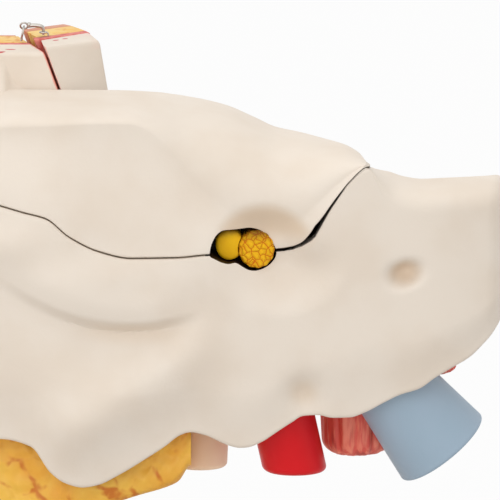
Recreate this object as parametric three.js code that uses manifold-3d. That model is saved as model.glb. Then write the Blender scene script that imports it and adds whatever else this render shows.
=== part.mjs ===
// Dissectible ear model, left ear, about three times life size, for the science classroom.
// Millimetres, +Z up. The group's origin is the middle of the base plate's underside.
// The anatomy frame has x = 0 and z = 0 at the internal meatus and y = 0 at the sculpted inner
// face of the petrous bone; y runs out to the display side. Heights above the base are only the stand's.

import * as THREE from "three";
import { mergeVertices } from "three/addons/utils/BufferGeometryUtils.js";
import Module from "manifold-3d";

const wasm = await Module();
wasm.setup();

// Fits shared by every piece.
const clearance = 0.3;
const seamGap = 0.5;
const seatGap = 0.3;

// Stand.
const base = { length: 230, width: 110, thickness: 16, corner: 14, edge: 3 };
const meatusHeight = 130;
const anatomyOrigin = new THREE.Vector3(60, -55, meatusHeight);
const pedestal = { x: -80, y: 36, length: 36, width: 30, flange: 10, flangeThickness: 5 };
const screw = { radius: 4, height: 2.6, shank: 2.2 };

// Petrous bone.
const bone = {
  left: -105, seamEnd: 36, apex: 82, depth: 50, lateralDepth: 62, innerDepth: 44.4,
  lipFront: 3, lipThickness: 6.5,
};
const undersideHeight = -46;
const shoulder = { height: 7.5, reach: 17, bend: 2.6 };
const roofDrop = { seam: 11, apex: 13 };

// Wall blocks above the canal. The cut between them leans to the left above its foot, and runs
// to the left going back; the upper section lifts off along that lean.
const wall = { front: 45, bone: 14, muscle: 3.2, fat: 13, skin: 3.2, gap: 0.6 };
const split = { x: -54.7, lean: 0.365, foot: 35, slant: 0.28 };
const lift = new THREE.Vector3(-Math.sin(0.349), 0, Math.cos(0.349));
const leftBlockTop = 51;
const rightBlockTop = 52.6;
const rightBlock = { bone: 12, muscle: 2.7, fat: 13.5, skin: 3.1, flank: 0.167, gap: 0.42 };
const layerFoot = 22;
const wallFoot = 14;

// Canal, drum and ossicles: the canal runs out from the drum along the section plane.
const canal = { x: -50, y: 60, angle: Math.PI - 0.607, bore: 7, lining: 1.2, cartilage: 3.2, fatEdge: -62.1 };
const canalLength = 88;
const drum = { radius: 9, thickness: 1, cone: 2 };

// Labyrinth.
const recess = { left: -33, middle: 0, right: 24, front: 20, floor: -19, roof: 23.5, sideRoof: 14.5 };
const vestibule = { x: -23, y: 37, z: 0, radius: 6.4, squash: 0.85 };
const cochlea = { x: 7, y: 34.5, z: -1, turns: 2.5, radius: 9.6, tube: 3.6, tip: 1.5, rise: 9 };
const semicircular = { radius: 6.8, tube: 1.4 };
const facialNerve = { x: -6.9, z: 0.5, radiusX: 3.3, radiusZ: 4.2, end: 5 };
const hearingNerve = { x: 2.3, z: -0.7, radiusX: 5.4, radiusZ: 5.7, end: 4 };

// Structures that leave the underside.
const carotid = { x: 13.6, y: 23, z: -69.9, radius: 9.5, lean: 0.192, away: 0.14 };
const styloid = { x: -14.7, y: 33, z: -71.2, radius: 8, top: 9 };
const palateMuscle = { x: 31, y: 35, z: -67.2, radius: 11 };
const tubeMuscle = { x: 56.5, y: 30, z: -42.5, radius: 5 };
const auditoryTube = { x: 57.2, y: 25, z: -64.6, radius: 15, neck: 11.6, length: 29, lumen: 5 };

// Auricle.
const auricle = { thickness: 7, rim: 5, bowl: 13, bowlRadius: 21, hole: 8 };
const headPlate = { thickness: 3, width: 50, low: -56, high: 40 };

// Colours.
const cream = { color: 0xe6dccd, roughness: 0.55 };
const skinTone = { color: 0xd9a183, roughness: 0.6 };
const muscleRed = { color: 0xb5483c, roughness: 0.5 };
const fatYellow = { color: 0xe6ae48, roughness: 0.6 };
const nerveYellow = { color: 0xe6b030, roughness: 0.5 };
const arteryRed = { color: 0xc3161f, roughness: 0.4 };
const tubeBlue = { color: 0x9cb3c6, roughness: 0.5 };
const cartilageBlue = { color: 0xb9c6c9, roughness: 0.55 };
const styloidTan = { color: 0xc5a184, roughness: 0.55 };
const labyrinthBlue = { color: 0x8fb3c9, roughness: 0.4 };
const ossicleWhite = { color: 0xf0ead8, roughness: 0.45 };
const standWhite = { color: 0xe9e8e4, roughness: 0.45 };
const steel = { color: 0xb8b6b2, roughness: 0.3, metalness: 1 };

// A smooth curve through points with rising x, with no overshoot between them.
function profile(...points) {
  const slope = points.map((point, i) => {
    if (i === 0 || i === points.length - 1) return 0;
    const before = (point[1] - points[i - 1][1]) / (point[0] - points[i - 1][0]);
    const after = (points[i + 1][1] - point[1]) / (points[i + 1][0] - point[0]);
    return before * after <= 0 ? 0 : (2 * before * after) / (before + after);
  });
  return (x) => {
    if (x <= points[0][0]) return points[0][1];
    const last = points.length - 1;
    if (x >= points[last][0]) return points[last][1];
    const i = points.findIndex((point) => point[0] > x) - 1;
    const width = points[i + 1][0] - points[i][0];
    const t = (x - points[i][0]) / width;
    const rise = points[i + 1][1] - points[i][1];
    const bend = (slope[i] * (1 - t) - slope[i + 1] * t) * width + rise * (2 * t - 1);
    return points[i][1] + rise * t + t * (1 - t) * bend;
  };
}

const dome = (x, z, middleX, middleZ, radiusX, radiusZ) =>
  Math.exp(-(((x - middleX) / radiusX) ** 2) - ((z - middleZ) / radiusZ) ** 2);
const blend = (from, to, t) => from + (to - from) * t;
const ease = (low, high, x) => THREE.MathUtils.smoothstep(x, low, high);

// The seam between the two bones, how far it opens beside the meatus, and how much lower it
// and the roof lie behind the face.
const seam = profile(
  [-105, 21], [-79.4, 14], [-67, 10.7], [-60, 9], [-53.2, 3.7], [-44.4, -0.6], [-35, -2.5], [-22, -2.4],
  [-12, -1.6], [8, -0.8], [12.2, 0.1], [16.2, 1.9], [21.5, 8.9], [29.3, 20], [35, 24.6],
);
const seamOpening = (x, y) => seamGap + 2.4 * dome(x, 0, 18.5, 0, 4.5, 1) * (1 - ease(4, 13, y));
const fall = (x, y) => roofDrop.seam * ease(5, 36, x) * (THREE.MathUtils.clamp(y, 0, 50) / 50) ** 1.3;
const seamHeight = (x, y, side) => seam(x) + (side * seamOpening(x, y)) / 2 - fall(x, y);
const upperTop = profile(
  [-105, 40.6], [-41, 40.4], [-27, 39.8], [-20, 38.6], [-13, 37.3], [-6, 35.4], [1, 32.4], [8, 29.8],
  [15, 29],
  [22.4, 27.9], [28, 27.6], [30.3, 27.3], [33, 26.4], [36, 24.8],
);
const upperCrest = profile([-105, 32.4], [-73, 34.3], [-41, 36.3], [-27, 35.6], [-15, 32], [36, 28]);
const upperRidge = profile(
  [-105, 42], [-10, 41], [8, 37], [16, 33], [23, 28], [28, 22], [31, 17], [33, 12], [36, 8],
);
const lowerTop = profile(
  [35, 24.4], [37.5, 22.8], [40, 21], [43.5, 19], [47, 18.1], [51, 17.6], [72, 17.6], [82, 11],
);
const lowerLip = profile(
  [-105, -58], [-73, -58.2], [-64.7, -60], [-58.8, -67.7], [-54.4, -70.8], [-49.4, -72], [-45, -71.3],
  [-38.2, -68], [-30.9, -63.5], [-20.6, -56.3], [-17.6, -55.4], [-13.2, -56.3], [-6.5, -59.3], [-2, -60],
  [3.5, -58.2], [12.4, -52.4], [15.6, -50.6], [20, -50.3], [29.4, -51], [33.8, -49.8], [39.7, -46.6],
  [50, -42.7], [60.3, -36.4], [68.5, -30.6], [72.1, -26.6], [77, -17], [82, 2],
);
const boneBack = profile([-105, 62], [-64, 62], [-46, 58], [-34, 50], [62, 50], [74, 42], [82, 31]);
const boneFront = profile([-105, 8], [-75, 4], [-50, 0], [20, 0], [50, 2], [70, 8], [82, 20]);
const blockRise = profile(
  [-105, 11.5], [-78, 11.5], [-73, 10.8], [-70.7, 5.6], [-66.5, 1.8], [-62.5, 0.5],
);
const splitAt = (z, y) =>
  split.x - split.lean * Math.max(z - split.foot, 0) - split.slant * (y - wall.front);

// The bowl round the meatus, with a steep upper wall and a dished lower one.
function bowlDepth(x, z) {
  const rise = (z + 3) / 16.8;
  const reach = Math.hypot((x - 8.6) / 20, rise);
  return 7.5 * blend(1 - Math.min(reach, 1) ** 1.7, 1 - ease(0.66, 1, reach), ease(-0.35, 0.35, rise));
}

// The crescent fold: a step in below a hanging edge that fades out downward.
function foldDepth(x, z) {
  const rise = z + 22.2 - 11 * ((x + 36) / 34) ** 2;
  const span = ease(-84, -42, x) * (1 - ease(-30, -12, x));
  const below = (1 - ease(-3.4, 1.2, rise)) * THREE.MathUtils.clamp(1 + (rise + 3) / 18, 0, 1) ** 1.3;
  return span * (5.2 * below - 2.6 * Math.exp(-(((rise - 5) / 6.5) ** 2)));
}

// The ridge that slants down over the lip, from below the meatus towards the left.
function ridgeHeight(x, z) {
  const start = new THREE.Vector2(-18.5, -30);
  const along = new THREE.Vector2(-51, -53).sub(start);
  const length = along.length();
  const spot = new THREE.Vector2(x, z).sub(start).rotateAround(new THREE.Vector2(), -along.angle());
  const reach = ease(-16, 6, spot.x) * (1 - ease(length - 4, length + 20, spot.x));
  return 4.6 * reach * Math.exp(-((spot.y / 9) ** 2));
}

// How deep the hollows of the sculpted face are at a point of it, less what stands forward.
function relief(x, z) {
  const bulge = 3 * dome(x, z, -72, 1, 12, 7) + 2 * dome(x, z, -40, -8, 22, 6);
  const drop = ((x - 45.6 - (z + 7.5) * 0.45) / 4.4) ** 2 + ((z + 7.4) / 3.2) ** 2;
  const teardrop = 5 * Math.exp(-(drop ** 1.5));
  const pit = 2.6 * dome(x, z, 15.6, -41.3, 5, 5);
  return bowlDepth(x, z) + foldDepth(x, z) - ridgeHeight(x, z) - bulge + teardrop + pit;
}

const faceDepth = (x, z) => boneFront(x) + relief(x, z);

// A closed surface, turned so that it faces out.
function surface(points, triangles) {
  const cross = new THREE.Vector3();
  const volume = triangles.reduce(
    (sum, [a, b, c]) => sum + points[a].dot(cross.crossVectors(points[b], points[c])), 0,
  );
  const faces = volume < 0 ? triangles.map(([a, b, c]) => [a, c, b]) : triangles;
  return new THREE.BufferGeometry().setFromPoints(points).setIndex(faces.flat());
}

// Triangles over a closed ring, wound the same way as the ring.
function capTriangles(ring) {
  const normal = new THREE.Vector3();
  ring.forEach((point, i) => {
    normal.add(new THREE.Vector3().crossVectors(point, ring[(i + 1) % ring.length]));
  });
  normal.normalize();
  const across = new THREE.Vector3(normal.z, normal.x, normal.y).cross(normal).normalize();
  const up = new THREE.Vector3().crossVectors(normal, across);
  const flat = ring.map((point) => new THREE.Vector2(point.dot(across), point.dot(up)));
  return THREE.ShapeUtils.triangulateShape(flat, []).map(([a, b, c]) => {
    const turn = flat[b].clone().sub(flat[a]).cross(flat[c].clone().sub(flat[a]));
    return turn < 0 ? [a, c, b] : [a, b, c];
  });
}

// A body through rings of equal count, capped at both ends, or closed round on itself.
function loft(rings, closed = false) {
  const count = rings[0].length;
  const triangles = [];
  const spans = closed ? rings.length : rings.length - 1;
  for (let i = 0; i < spans; i += 1) {
    const next = (i + 1) % rings.length;
    for (let j = 0; j < count; j += 1) {
      const k = (j + 1) % count;
      const [a, b] = [i * count + j, i * count + k];
      const [c, d] = [next * count + k, next * count + j];
      triangles.push([a, b, c], [a, c, d]);
    }
  }
  if (!closed) {
    capTriangles(rings[0]).forEach(([a, b, c]) => triangles.push([a, c, b]));
    const last = (rings.length - 1) * count;
    capTriangles(rings.at(-1)).forEach(([a, b, c]) => triangles.push([last + a, last + b, last + c]));
  }
  return surface(rings.flat(), triangles);
}

// A round bar along a curve, with its radius given along it.
function bar(points, radiusAt, sides = 12, steps = 16) {
  const curve = new THREE.CatmullRomCurve3(points);
  const frames = curve.computeFrenetFrames(steps, false);
  const rings = Array.from({ length: steps + 1 }, (_, i) => {
    const middle = curve.getPointAt(i / steps);
    const radius = radiusAt(i / steps);
    return Array.from({ length: sides }, (_, j) => {
      const turn = (j / sides) * 2 * Math.PI;
      return middle.clone()
        .addScaledVector(frames.normals[i], radius * Math.cos(turn))
        .addScaledVector(frames.binormals[i], radius * Math.sin(turn));
    });
  });
  return loft(rings);
}

// A turned body: profile points are [radius, height], from the axis at one end to the axis at the other.
const turned = (points, sides = 22) =>
  new THREE.LatheGeometry(points.map(([r, h]) => new THREE.Vector2(r, h)), sides)
  .rotateX(Math.PI / 2);

// An upright prism over a plan outline.
function prism(outline, low, high) {
  const shape = new THREE.Shape(outline.map(([x, y]) => new THREE.Vector2(x, y)));
  return new THREE.ExtrudeGeometry(shape, { depth: high - low, bevelEnabled: false }).translate(0, 0, low);
}

function toSolid(geometry) {
  const bare = geometry.clone();
  bare.deleteAttribute("normal");
  bare.deleteAttribute("uv");
  const merged = mergeVertices(bare, 1e-4);
  return new wasm.Manifold(new wasm.Mesh({
    numProp: 3,
    vertProperties: merged.getAttribute("position").array,
    triVerts: new Uint32Array(merged.index.array),
  }));
}

function toGeometry(solid) {
  const mesh = solid.getMesh();
  const positions = new Float32Array(mesh.numVert * 3);
  for (let i = 0; i < mesh.numVert; i += 1) {
    positions.set(mesh.vertProperties.subarray(i * mesh.numProp, i * mesh.numProp + 3), i * 3);
  }
  const geometry = new THREE.BufferGeometry();
  geometry.setAttribute("position", new THREE.BufferAttribute(positions, 3));
  geometry.setIndex(new THREE.BufferAttribute(mesh.triVerts, 1));
  return geometry;
}

const cut = (body, ...tools) =>
  toGeometry(tools.reduce((solid, tool) => solid.subtract(toSolid(tool)), toSolid(body)));
const join = (first, ...rest) =>
  toGeometry(rest.reduce((solid, part) => solid.add(toSolid(part)), toSolid(first)));
const common = (a, b) => toGeometry(toSolid(a).intersect(toSolid(b)));

function finish(name, geometry, look) {
  const flat = geometry.index ? geometry.toNonIndexed() : geometry;
  flat.computeVertexNormals();
  const mesh = new THREE.Mesh(flat, new THREE.MeshStandardMaterial(look));
  mesh.name = name;
  return mesh;
}

const stationX = (from, to, count) =>
  Array.from({ length: count + 1 }, (_, i) => blend(from, to, i / count));

// The canal's own frame: x' outward along it, y' towards the sculpted face, z' up from its axis.
const canalFrame = new THREE.Matrix4()
  .makeRotationZ(canal.angle)
  .setPosition(canal.x, canal.y, 0);
const canalFrameInverse = canalFrame.clone().invert();
const toCanal = (x, y) => {
  const point = new THREE.Vector3(x, y, 0).applyMatrix4(canalFrameInverse);
  return [point.x, point.y];
};
const fromCanal = (t, s, h = 0) => new THREE.Vector3(t, s, h).applyMatrix4(canalFrame);

const cartilageRadius = canal.bore + canal.lining + seatGap + canal.cartilage;
const tube = (radius, from, to, sides = 24) =>
  new THREE.CylinderGeometry(radius, radius, to - from, sides)
    .rotateZ(-Math.PI / 2)
    .translate((from + to) / 2, 0, 0);

// Space cut out of the bones for the drum and ossicles, open to the display side.
function tympanicSpace() {
  const medial = -35;
  const wallSide = drum.radius + clearance;
  const low = -drum.radius - 3;
  const high = drum.radius + 6;
  return new THREE.BoxGeometry(-medial + 0.6, wallSide + 70, high - low)
    .translate((medial + 0.6) / 2, (wallSide - 70) / 2, (low + high) / 2)
    .applyMatrix4(canalFrame);
}

// Canal trench through the bone: round on the kept side, open beyond the section plane.
function canalSpace() {
  const radius = cartilageRadius + clearance;
  const open = new THREE.BoxGeometry(100, 60, 2 * radius + 4).translate(50.5, -30, 0);
  return join(tube(radius, 0.5, 100), open).applyMatrix4(canalFrame);
}

// Recess for the labyrinth, lower beside the cochlea than over the semicircular canals.
function recessSpace() {
  const space = (left, right, roof) => new THREE.BoxGeometry(right - left, 60, roof - recess.floor)
    .translate((left + right) / 2, recess.front + 30, (recess.floor + roof) / 2);
  return join(
    space(recess.left, recess.middle, recess.roof),
    space(recess.middle - 1, recess.right, recess.sideRoof),
  );
}

// The internal acoustic meatus, flared at its mouth, with a snug bore for each nerve at its fundus.
function meatusSpace() {
  const outline = [
    [-12.2, -2.5], [-11.2, 1.6], [-9.6, 4.9], [-7.4, 6], [0, 6.6], [3, 6.1], [5.8, 4.4], [7.9, 1.7],
    [8.8, -1.2],
    [6.8, -5.9], [3.9, -7.2], [-1.2, -6.2], [-4.1, -4.2], [-8.2, -4.3],
  ];
  const ring = (y, grow) =>
    outline.map(([x, z]) => new THREE.Vector3(-1.8 + (x + 1.8) * grow, y, z * grow));
  const mouth = loft([ring(-8, 1.16), ring(2, 1.04), ring(6, 1), ring(15, 1)]);
  const bores = [facialNerve, hearingNerve].map(({ x, z, radiusX, radiusZ }) => loft(
    [14, recess.front + 2].map((y) => nerveRing(y, x, z, radiusX + 0.5, radiusZ + 0.4, 16)),
  ));
  return join(mouth, ...bores);
}

const locatingPins = [
  { x: -92, y: 30 },
  { x: -66, y: 20 },
  { x: -24, y: 12 },
];
const pin = { radius: 2, depth: 6, stand: 4 };
const alongLift = new THREE.Quaternion().setFromUnitVectors(new THREE.Vector3(0, 0, 1), lift);

function pinSpace({ x, y }) {
  const radius = pin.radius + clearance;
  const low = -pin.depth - clearance;
  return turned([[0, low], [radius, low], [radius, pin.stand + clearance],
    [0, pin.stand + clearance]], 10)
    .applyQuaternion(alongLift)
    .translate(x, y, seam(x));
}

// Sections of the two bones stand at the same stations, and meet the seam at the same depths.
const seamStations = [...stationX(bone.left, -20, 14), ...stationX(-20, bone.seamEnd, 18).slice(1)];
const boneStations = [...seamStations, ...stationX(bone.seamEnd, bone.apex, 12).slice(1)];
const shoulderReach = (front, back) => Math.min(shoulder.reach, (back - front) * 0.6);
function seamDepths(front, back) {
  const reach = shoulderReach(front, back);
  return [front + reach * 0.18, front + reach * 0.55, front + reach, blend(front + reach, back, 0.5), back];
}

// Lower bone: scalloped lip, flat seam, rounded ridge and pointed apex.
function lowerBone() {
  const ring = (x) => {
    const apex = ease(34, 43, x);
    const onSeam = x < 35;
    const top = onSeam ? seamHeight(x, 0, -1) : lowerTop(x) - seamGap * (1 - apex);
    const lip = lowerLip(x);
    const under = Math.min(Math.max(undersideHeight, lip + 6), top - 3);
    const back = boneBack(x);
    const drop = Math.min(shoulder.height, (top - lip) * 0.3) * apex;
    const faceTop = top - drop;
    const at = (y, z) => new THREE.Vector3(x, y, z);
    const points = [at(boneFront(x) + bone.lipFront + 2, lip)];
    for (const u of [0.02, 0.1, 0.19, 0.28, 0.37, 0.46, 0.55, 0.64, 0.73, 0.82, 0.9, 1]) {
      const z = blend(lip, faceTop, u);
      points.push(at(faceDepth(x, z) + bone.lipFront * (1 - ease(0, 0.3, u)), z));
    }
    const front = faceDepth(x, faceTop);
    const slope = Math.min(roofDrop.apex, (faceTop - under) * 0.4);
    seamDepths(front, back).forEach((y, i, depths) => {
      const seated = (onSeam ? seamHeight(x, y, -1) : top - fall(x, y));
      const forward = Math.min((y - front) / shoulderReach(front, back), 1);
      const rounded = faceTop + drop * (1 - (1 - forward) ** shoulder.bend) ** (1 / shoulder.bend);
      const share = Math.max((y - depths[2]) / (back - depths[2]), 0);
      points.push(at(y, blend(seated, rounded - slope * share ** 1.6, apex)));
    });
    points.push(at(back, blend(under, points.at(-1).z, 0.6)), at(back - 1, under));
    const lipBack = Math.min(boneFront(x) + bone.lipFront + bone.lipThickness, back - 4);
    points.push(at(blend(lipBack, back, 0.5), under), at(lipBack, under));
    points.push(at(lipBack, blend(lip, under, 0.35)));
    return points;
  };
  const body = loft(boneStations.map(ring));
  const near = [splitAt(0, wall.front) + wall.gap / 2, wall.front + clearance];
  const far = [splitAt(0, wall.front + 22.9) + wall.gap / 2, wall.front + 22.9];
  const pillar = prism([near, [-41, wall.front + 15.3], far], -10, wallFoot - clearance);
  const stepFront = wall.front + 1.5;
  const stepRight = near[0] - 7;
  const step = prism([
    [bone.left, stepFront], [stepRight, stepFront],
    [stepRight, bone.lateralDepth], [bone.left, bone.lateralDepth],
  ], -10, 9);
  return cut(
    join(body, pillar, step),
    recessSpace(), meatusSpace(), tympanicSpace(), canalSpace(), ...locatingPins.map(pinSpace),
  );
}

// What lies to the right of the cut between the wall blocks, between two depths.
function rightOfSplit(front, back, right) {
  return loft([-30, split.foot, 70].map((z) => [
    [splitAt(z, front) - wall.gap / 2, front], [right, front],
    [right, back], [splitAt(z, back) - wall.gap / 2, back],
  ].map(([x, y]) => new THREE.Vector3(x, y, z))));
}

// Upper bone: face, light plateau with its rounded ridge, and the left wall block that grows out of it.
function upperBone() {
  const ring = (x) => {
    const low = seam(x) + seamOpening(x, 0) / 2;
    const top = Math.max(upperTop(x), low + 0.6);
    const turn = ease(-34, 8, x);
    const start = blend(upperCrest(x), blend(low, top, 0.2), ease(-32, -4, x));
    const bend = blend(2.3, 2, turn);
    const lean = blend(6, 1.5, turn);
    const at = (y, z) => new THREE.Vector3(x, y, z);
    const points = [0, 0.15, 0.32, 0.5, 0.68, 0.85, 1].map((u) => {
      const z = blend(low, start, u);
      return at(faceDepth(x, z) + lean * u ** 2.2, z);
    });
    const edge = points.at(-1).y;
    const ridge = Math.max(upperRidge(x), edge + 1);
    for (const t of [0.18, 0.36, 0.54, 0.72, 1]) {
      const angle = (t * Math.PI) / 2;
      const up = Math.sin(angle) ** (2 / bend);
      const z = blend(start, top, up);
      const carved = (relief(x, z) - relief(x, start)) * (1 - up);
      points.push(at(blend(edge, ridge, 1 - Math.cos(angle) ** (2 / bend)) + carved, z));
    }
    const back = blend(bone.innerDepth, bone.depth, ease(-26, -20, x));
    const lowBack = seamHeight(x, back, 1);
    const highBack = Math.max(top - blend(1.5, 10, ease(0, 33, x)), lowBack + 0.6);
    points.push(at(blend(ridge, back, 0.55), blend(top, highBack, 0.4)), at(back, highBack));
    const depths = seamDepths(points[0].y, back).reverse();
    return [...points, ...depths.map((y) => at(y, seamHeight(x, y, 1)))];
  };
  const body = loft(seamStations.map(ring));
  const block = loft(stationX(bone.left, split.x, 13).map((x) => {
    const low = seam(x) + seamOpening(x, 0) / 2;
    const foot = upperTop(x) - 2.2;
    const rise = blockRise(x);
    const reach = 1.5 + 1.7 * rise;
    const back = wall.front + wall.bone;
    const at = (y, z) => new THREE.Vector3(x, y, z);
    const arc = [0, 0.35, 0.7, 1].map((t) => {
      const turn = (t * Math.PI) / 2;
      return at(wall.front - reach * (1 - Math.sin(turn)), foot + rise * (1 - Math.cos(turn)));
    });
    return [
      at(wall.front - reach, low), ...arc,
      at(wall.front, leftBlockTop - 1.4), at(wall.front + 1.4, leftBlockTop),
      at(back, leftBlockTop), at(back, low),
    ];
  }));
  return cut(
    join(body, cut(block, rightOfSplit(0, 90, 0))),
    rightOfSplit(bone.innerDepth, 90, -24), recessSpace(), meatusSpace(), tympanicSpace(), canalSpace(),
    ...locatingPins.map(pinSpace),
  );
}

// Left wall layers ride with the upper bone; each is a slab behind the last.
const leftLayerStart = wall.front + wall.bone + seatGap;
const leftLayers = [
  { name: "rear_wall_muscle", from: leftLayerStart, depth: wall.muscle, look: muscleRed },
  { name: "rear_wall_fat", from: leftLayerStart + wall.muscle + seatGap, depth: wall.fat, look: fatYellow },
  {
    name: "rear_wall_skin",
    from: leftLayerStart + wall.muscle + wall.fat + 2 * seatGap,
    depth: wall.skin,
    look: skinTone,
  },
];

function leftLayer({ from, depth }) {
  const rounding = Math.min(2, depth / 2);
  const slab = loft(stationX(bone.left + 1, split.x, 6).map((x) => {
    const sag = 3 * ease(-80, -105, x);
    const at = (y, z) => new THREE.Vector3(x, y, z);
    const top = leftBlockTop - sag - (from - wall.front - wall.bone) * 0.03;
    return [at(from, layerFoot), at(from, top), at(from + depth - rounding, top),
      at(from + depth, top - rounding), at(from + depth, layerFoot)];
  }));
  return cut(slab, rightOfSplit(0, 120, 0));
}

// Right wall layers: strips in plan between the leaning cut and the slanted end of the block.
const rightStrips = [
  { name: "front_wall_bone", start: 0, depth: rightBlock.bone, look: cream },
  {
    name: "front_wall_muscle",
    start: rightBlock.bone + rightBlock.gap,
    depth: rightBlock.muscle,
    look: muscleRed,
  },
  {
    name: "front_wall_fat",
    start: rightBlock.bone + rightBlock.muscle + 2 * rightBlock.gap,
    depth: rightBlock.fat,
    look: fatYellow,
  },
  {
    name: "front_wall_skin",
    start: rightBlock.bone + rightBlock.muscle + rightBlock.fat + 3 * rightBlock.gap,
    depth: rightBlock.skin,
    look: skinTone,
  },
];
const flankX = profile([0, -44.5], [12, -47.4], [15.1, -48.3], [29, -53], [32.8, -55]);
const flankY = profile([0, 57], [12, 70.4], [15.1, 73], [29, 82.5], [32.8, 84.9]);

function rightLayer({ start, depth }, foot) {
  const bevel = start === 0 ? 1.6 : 0.8;
  const outline = (z, inset) => {
    const left = (d) => {
      const y = wall.front + d * 1.08;
      return [splitAt(z, y) + wall.gap / 2, y];
    };
    const right = (d) => [flankX(d) - rightBlock.flank * (z - rightBlockTop) - inset * 0.6, flankY(d)];
    const near = start + (start === 0 ? inset : inset * 0.2);
    return [left(near), right(near), right(start + depth), left(start + depth)];
  };
  const levels = [
    [foot, 0], ...[0, 5, 10, 15].map((rise) => [split.foot + rise, 0]), [rightBlockTop - bevel, 0],
    [rightBlockTop - bevel * 0.3, bevel * 0.3], [rightBlockTop, bevel],
  ];
  return loft(levels.map(([z, inset]) => outline(z, inset).map(([x, y]) => new THREE.Vector3(x, y, z))));
}

// Structures under the bone.
const leaning = (from, to) => new THREE.Quaternion()
  .setFromUnitVectors(new THREE.Vector3(0, 0, 1), to.clone().sub(from).normalize());

function stub(from, to, radiusLow, radiusHigh, round, grow = 0) {
  const length = from.distanceTo(to);
  const points = [
    [0, -grow], [radiusLow - round + grow, -grow], [radiusLow - round * 0.3 + grow, round * 0.3 - grow],
    [radiusLow + grow, round], [radiusHigh + grow, length], [0, length],
  ];
  return turned(points).applyQuaternion(leaning(from, to)).translate(from.x, from.y, from.z);
}

const underside = undersideHeight - seatGap;
const carotidFoot = new THREE.Vector3(carotid.x, carotid.y, carotid.z);
const carotidHead = new THREE.Vector3(
  carotid.x - (underside - carotid.z) * Math.tan(carotid.lean),
  carotid.y - (underside - carotid.z) * Math.tan(carotid.away),
  underside,
);
const tubeFoot = new THREE.Vector3(auditoryTube.x, auditoryTube.y, auditoryTube.z);
const tubeAxis = new THREE.Vector3(-0.614, -0.12, 0.786);
const tubeHead = tubeFoot.clone().add(tubeAxis.clone().setLength(auditoryTube.length));

const below = (geometry) => common(geometry, new THREE.BoxGeometry(400, 200, 200)
  .translate(0, 0, underside - 100));

function carotidArtery() {
  const buried = carotidHead.clone().lerp(carotidFoot, -0.3);
  return below(stub(carotidFoot, buried, carotid.radius, carotid.radius, 1.5));
}

const tubeBody = (grow = 0) =>
  stub(tubeFoot, tubeHead, auditoryTube.radius, auditoryTube.neck, 1.2, grow);

function boneClearance(grow) {
  return loft(boneStations.map((x) => {
    const lip = lowerLip(x) - grow;
    const under = Math.max(undersideHeight, lowerLip(x) + 6) - grow;
    const front = boneFront(x) + bone.lipFront + bone.lipThickness + grow;
    return [[-20, lip], [front, lip], [front, under], [80, under], [80, 30], [-20, 30]]
      .map(([y, z]) => new THREE.Vector3(x, y, z));
  }));
}

function auditoryTubeBody() {
  const lumen = stub(tubeFoot.clone().lerp(tubeHead, -0.05), tubeFoot.clone().lerp(tubeHead, 0.45),
    auditoryTube.radius - auditoryTube.lumen, 2, 0.5);
  return cut(tubeBody(), boneClearance(seatGap), lumen);
}

function palateMuscleBody() {
  const foot = new THREE.Vector3(palateMuscle.x, palateMuscle.y, palateMuscle.z);
  const head = foot.clone().add(new THREE.Vector3(-1.5, 0, 40));
  const stump = stub(foot, head, palateMuscle.radius, palateMuscle.radius + 0.5, 4);
  return cut(stump, boneClearance(seatGap), tubeBody(seatGap));
}

function tubeMuscleBody() {
  const foot = new THREE.Vector3(tubeMuscle.x, tubeMuscle.y, tubeMuscle.z);
  const head = foot.clone().add(new THREE.Vector3(-6, 0, 30));
  const stump = stub(foot, head, tubeMuscle.radius, tubeMuscle.radius, 2);
  return cut(stump, boneClearance(seatGap), tubeBody(seatGap));
}

const styloidFoot = new THREE.Vector3(styloid.x, styloid.y, styloid.z);
const styloidBody = (grow = 0) =>
  stub(
    styloidFoot, new THREE.Vector3(styloid.x, styloid.y, underside), styloid.radius, styloid.top, 1.5, grow,
  );

// Fat body below the bone, flat where it rests on the pedestal.
const fatBottom = profile(
  [-103, -81], [-98, -84.3], [-60, -84.3], [-39.4, -78.6], [-32.4, -76.4], [-25.6, -74.4], [-21.2, -72.4],
  [-17.4, -67.5],
);
const fatFoot = fatBottom(pedestal.x);

function parotidFat() {
  const top = underside;
  const front = bone.lipFront + bone.lipThickness + clearance;
  const body = loft(stationX(-103, -17.4, 20).map((x) => {
    const low = fatBottom(x);
    const y = boneFront(x) + front + 0.6;
    const back = 60 - 20 * ease(-40, -18, x);
    return [[y + 2, top], [y, top - 3], [y, low + 5], [y + 2, low + 1.4], [y + 6, low], [back - 6, low],
      [back - 1.5, low + 1.5], [back, low + 6], [back, top - 4], [back - 3, top]]
      .map(([py, z]) => new THREE.Vector3(x, py, z));
  }));
  return cut(body, styloidBody(seatGap), boneClearance(seatGap));
}

// Nerves and labyrinth.
function nerveRing(y, x, z, radiusX, radiusZ, sides = 18) {
  return Array.from({ length: sides }, (_, i) => {
    const turn = (i / sides) * 2 * Math.PI;
    return new THREE.Vector3(x + radiusX * Math.cos(turn), y, z + radiusZ * Math.sin(turn));
  });
}

const vestibuleBody = (grow = 0) => new THREE.SphereGeometry(vestibule.radius + grow, 16, 10)
  .scale(1, vestibule.squash, 1.08)
  .translate(vestibule.x, vestibule.y, vestibule.z);

function facialNerveBody() {
  const { x, z, radiusX, radiusZ, end } = facialNerve;
  const ring = (y, shiftX, shiftZ, grow) =>
    nerveRing(y, x + shiftX, z + shiftZ, radiusX * grow, radiusZ * grow);
  const body = loft([
    ring(end, 0, 0, 0.55), ring(end + 0.5, 0, 0, 0.85), ring(end + 1.8, 0, 0, 1), ring(20, 0, 0.1, 0.94),
    ring(24, -1.5, 0.8, 0.85), ring(28, -5, 2, 0.75), ring(32, -9.5, 2.6, 0.7), ring(35, -14, 2.4, 0.7),
  ]);
  return cut(body, vestibuleBody(seatGap));
}

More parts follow.
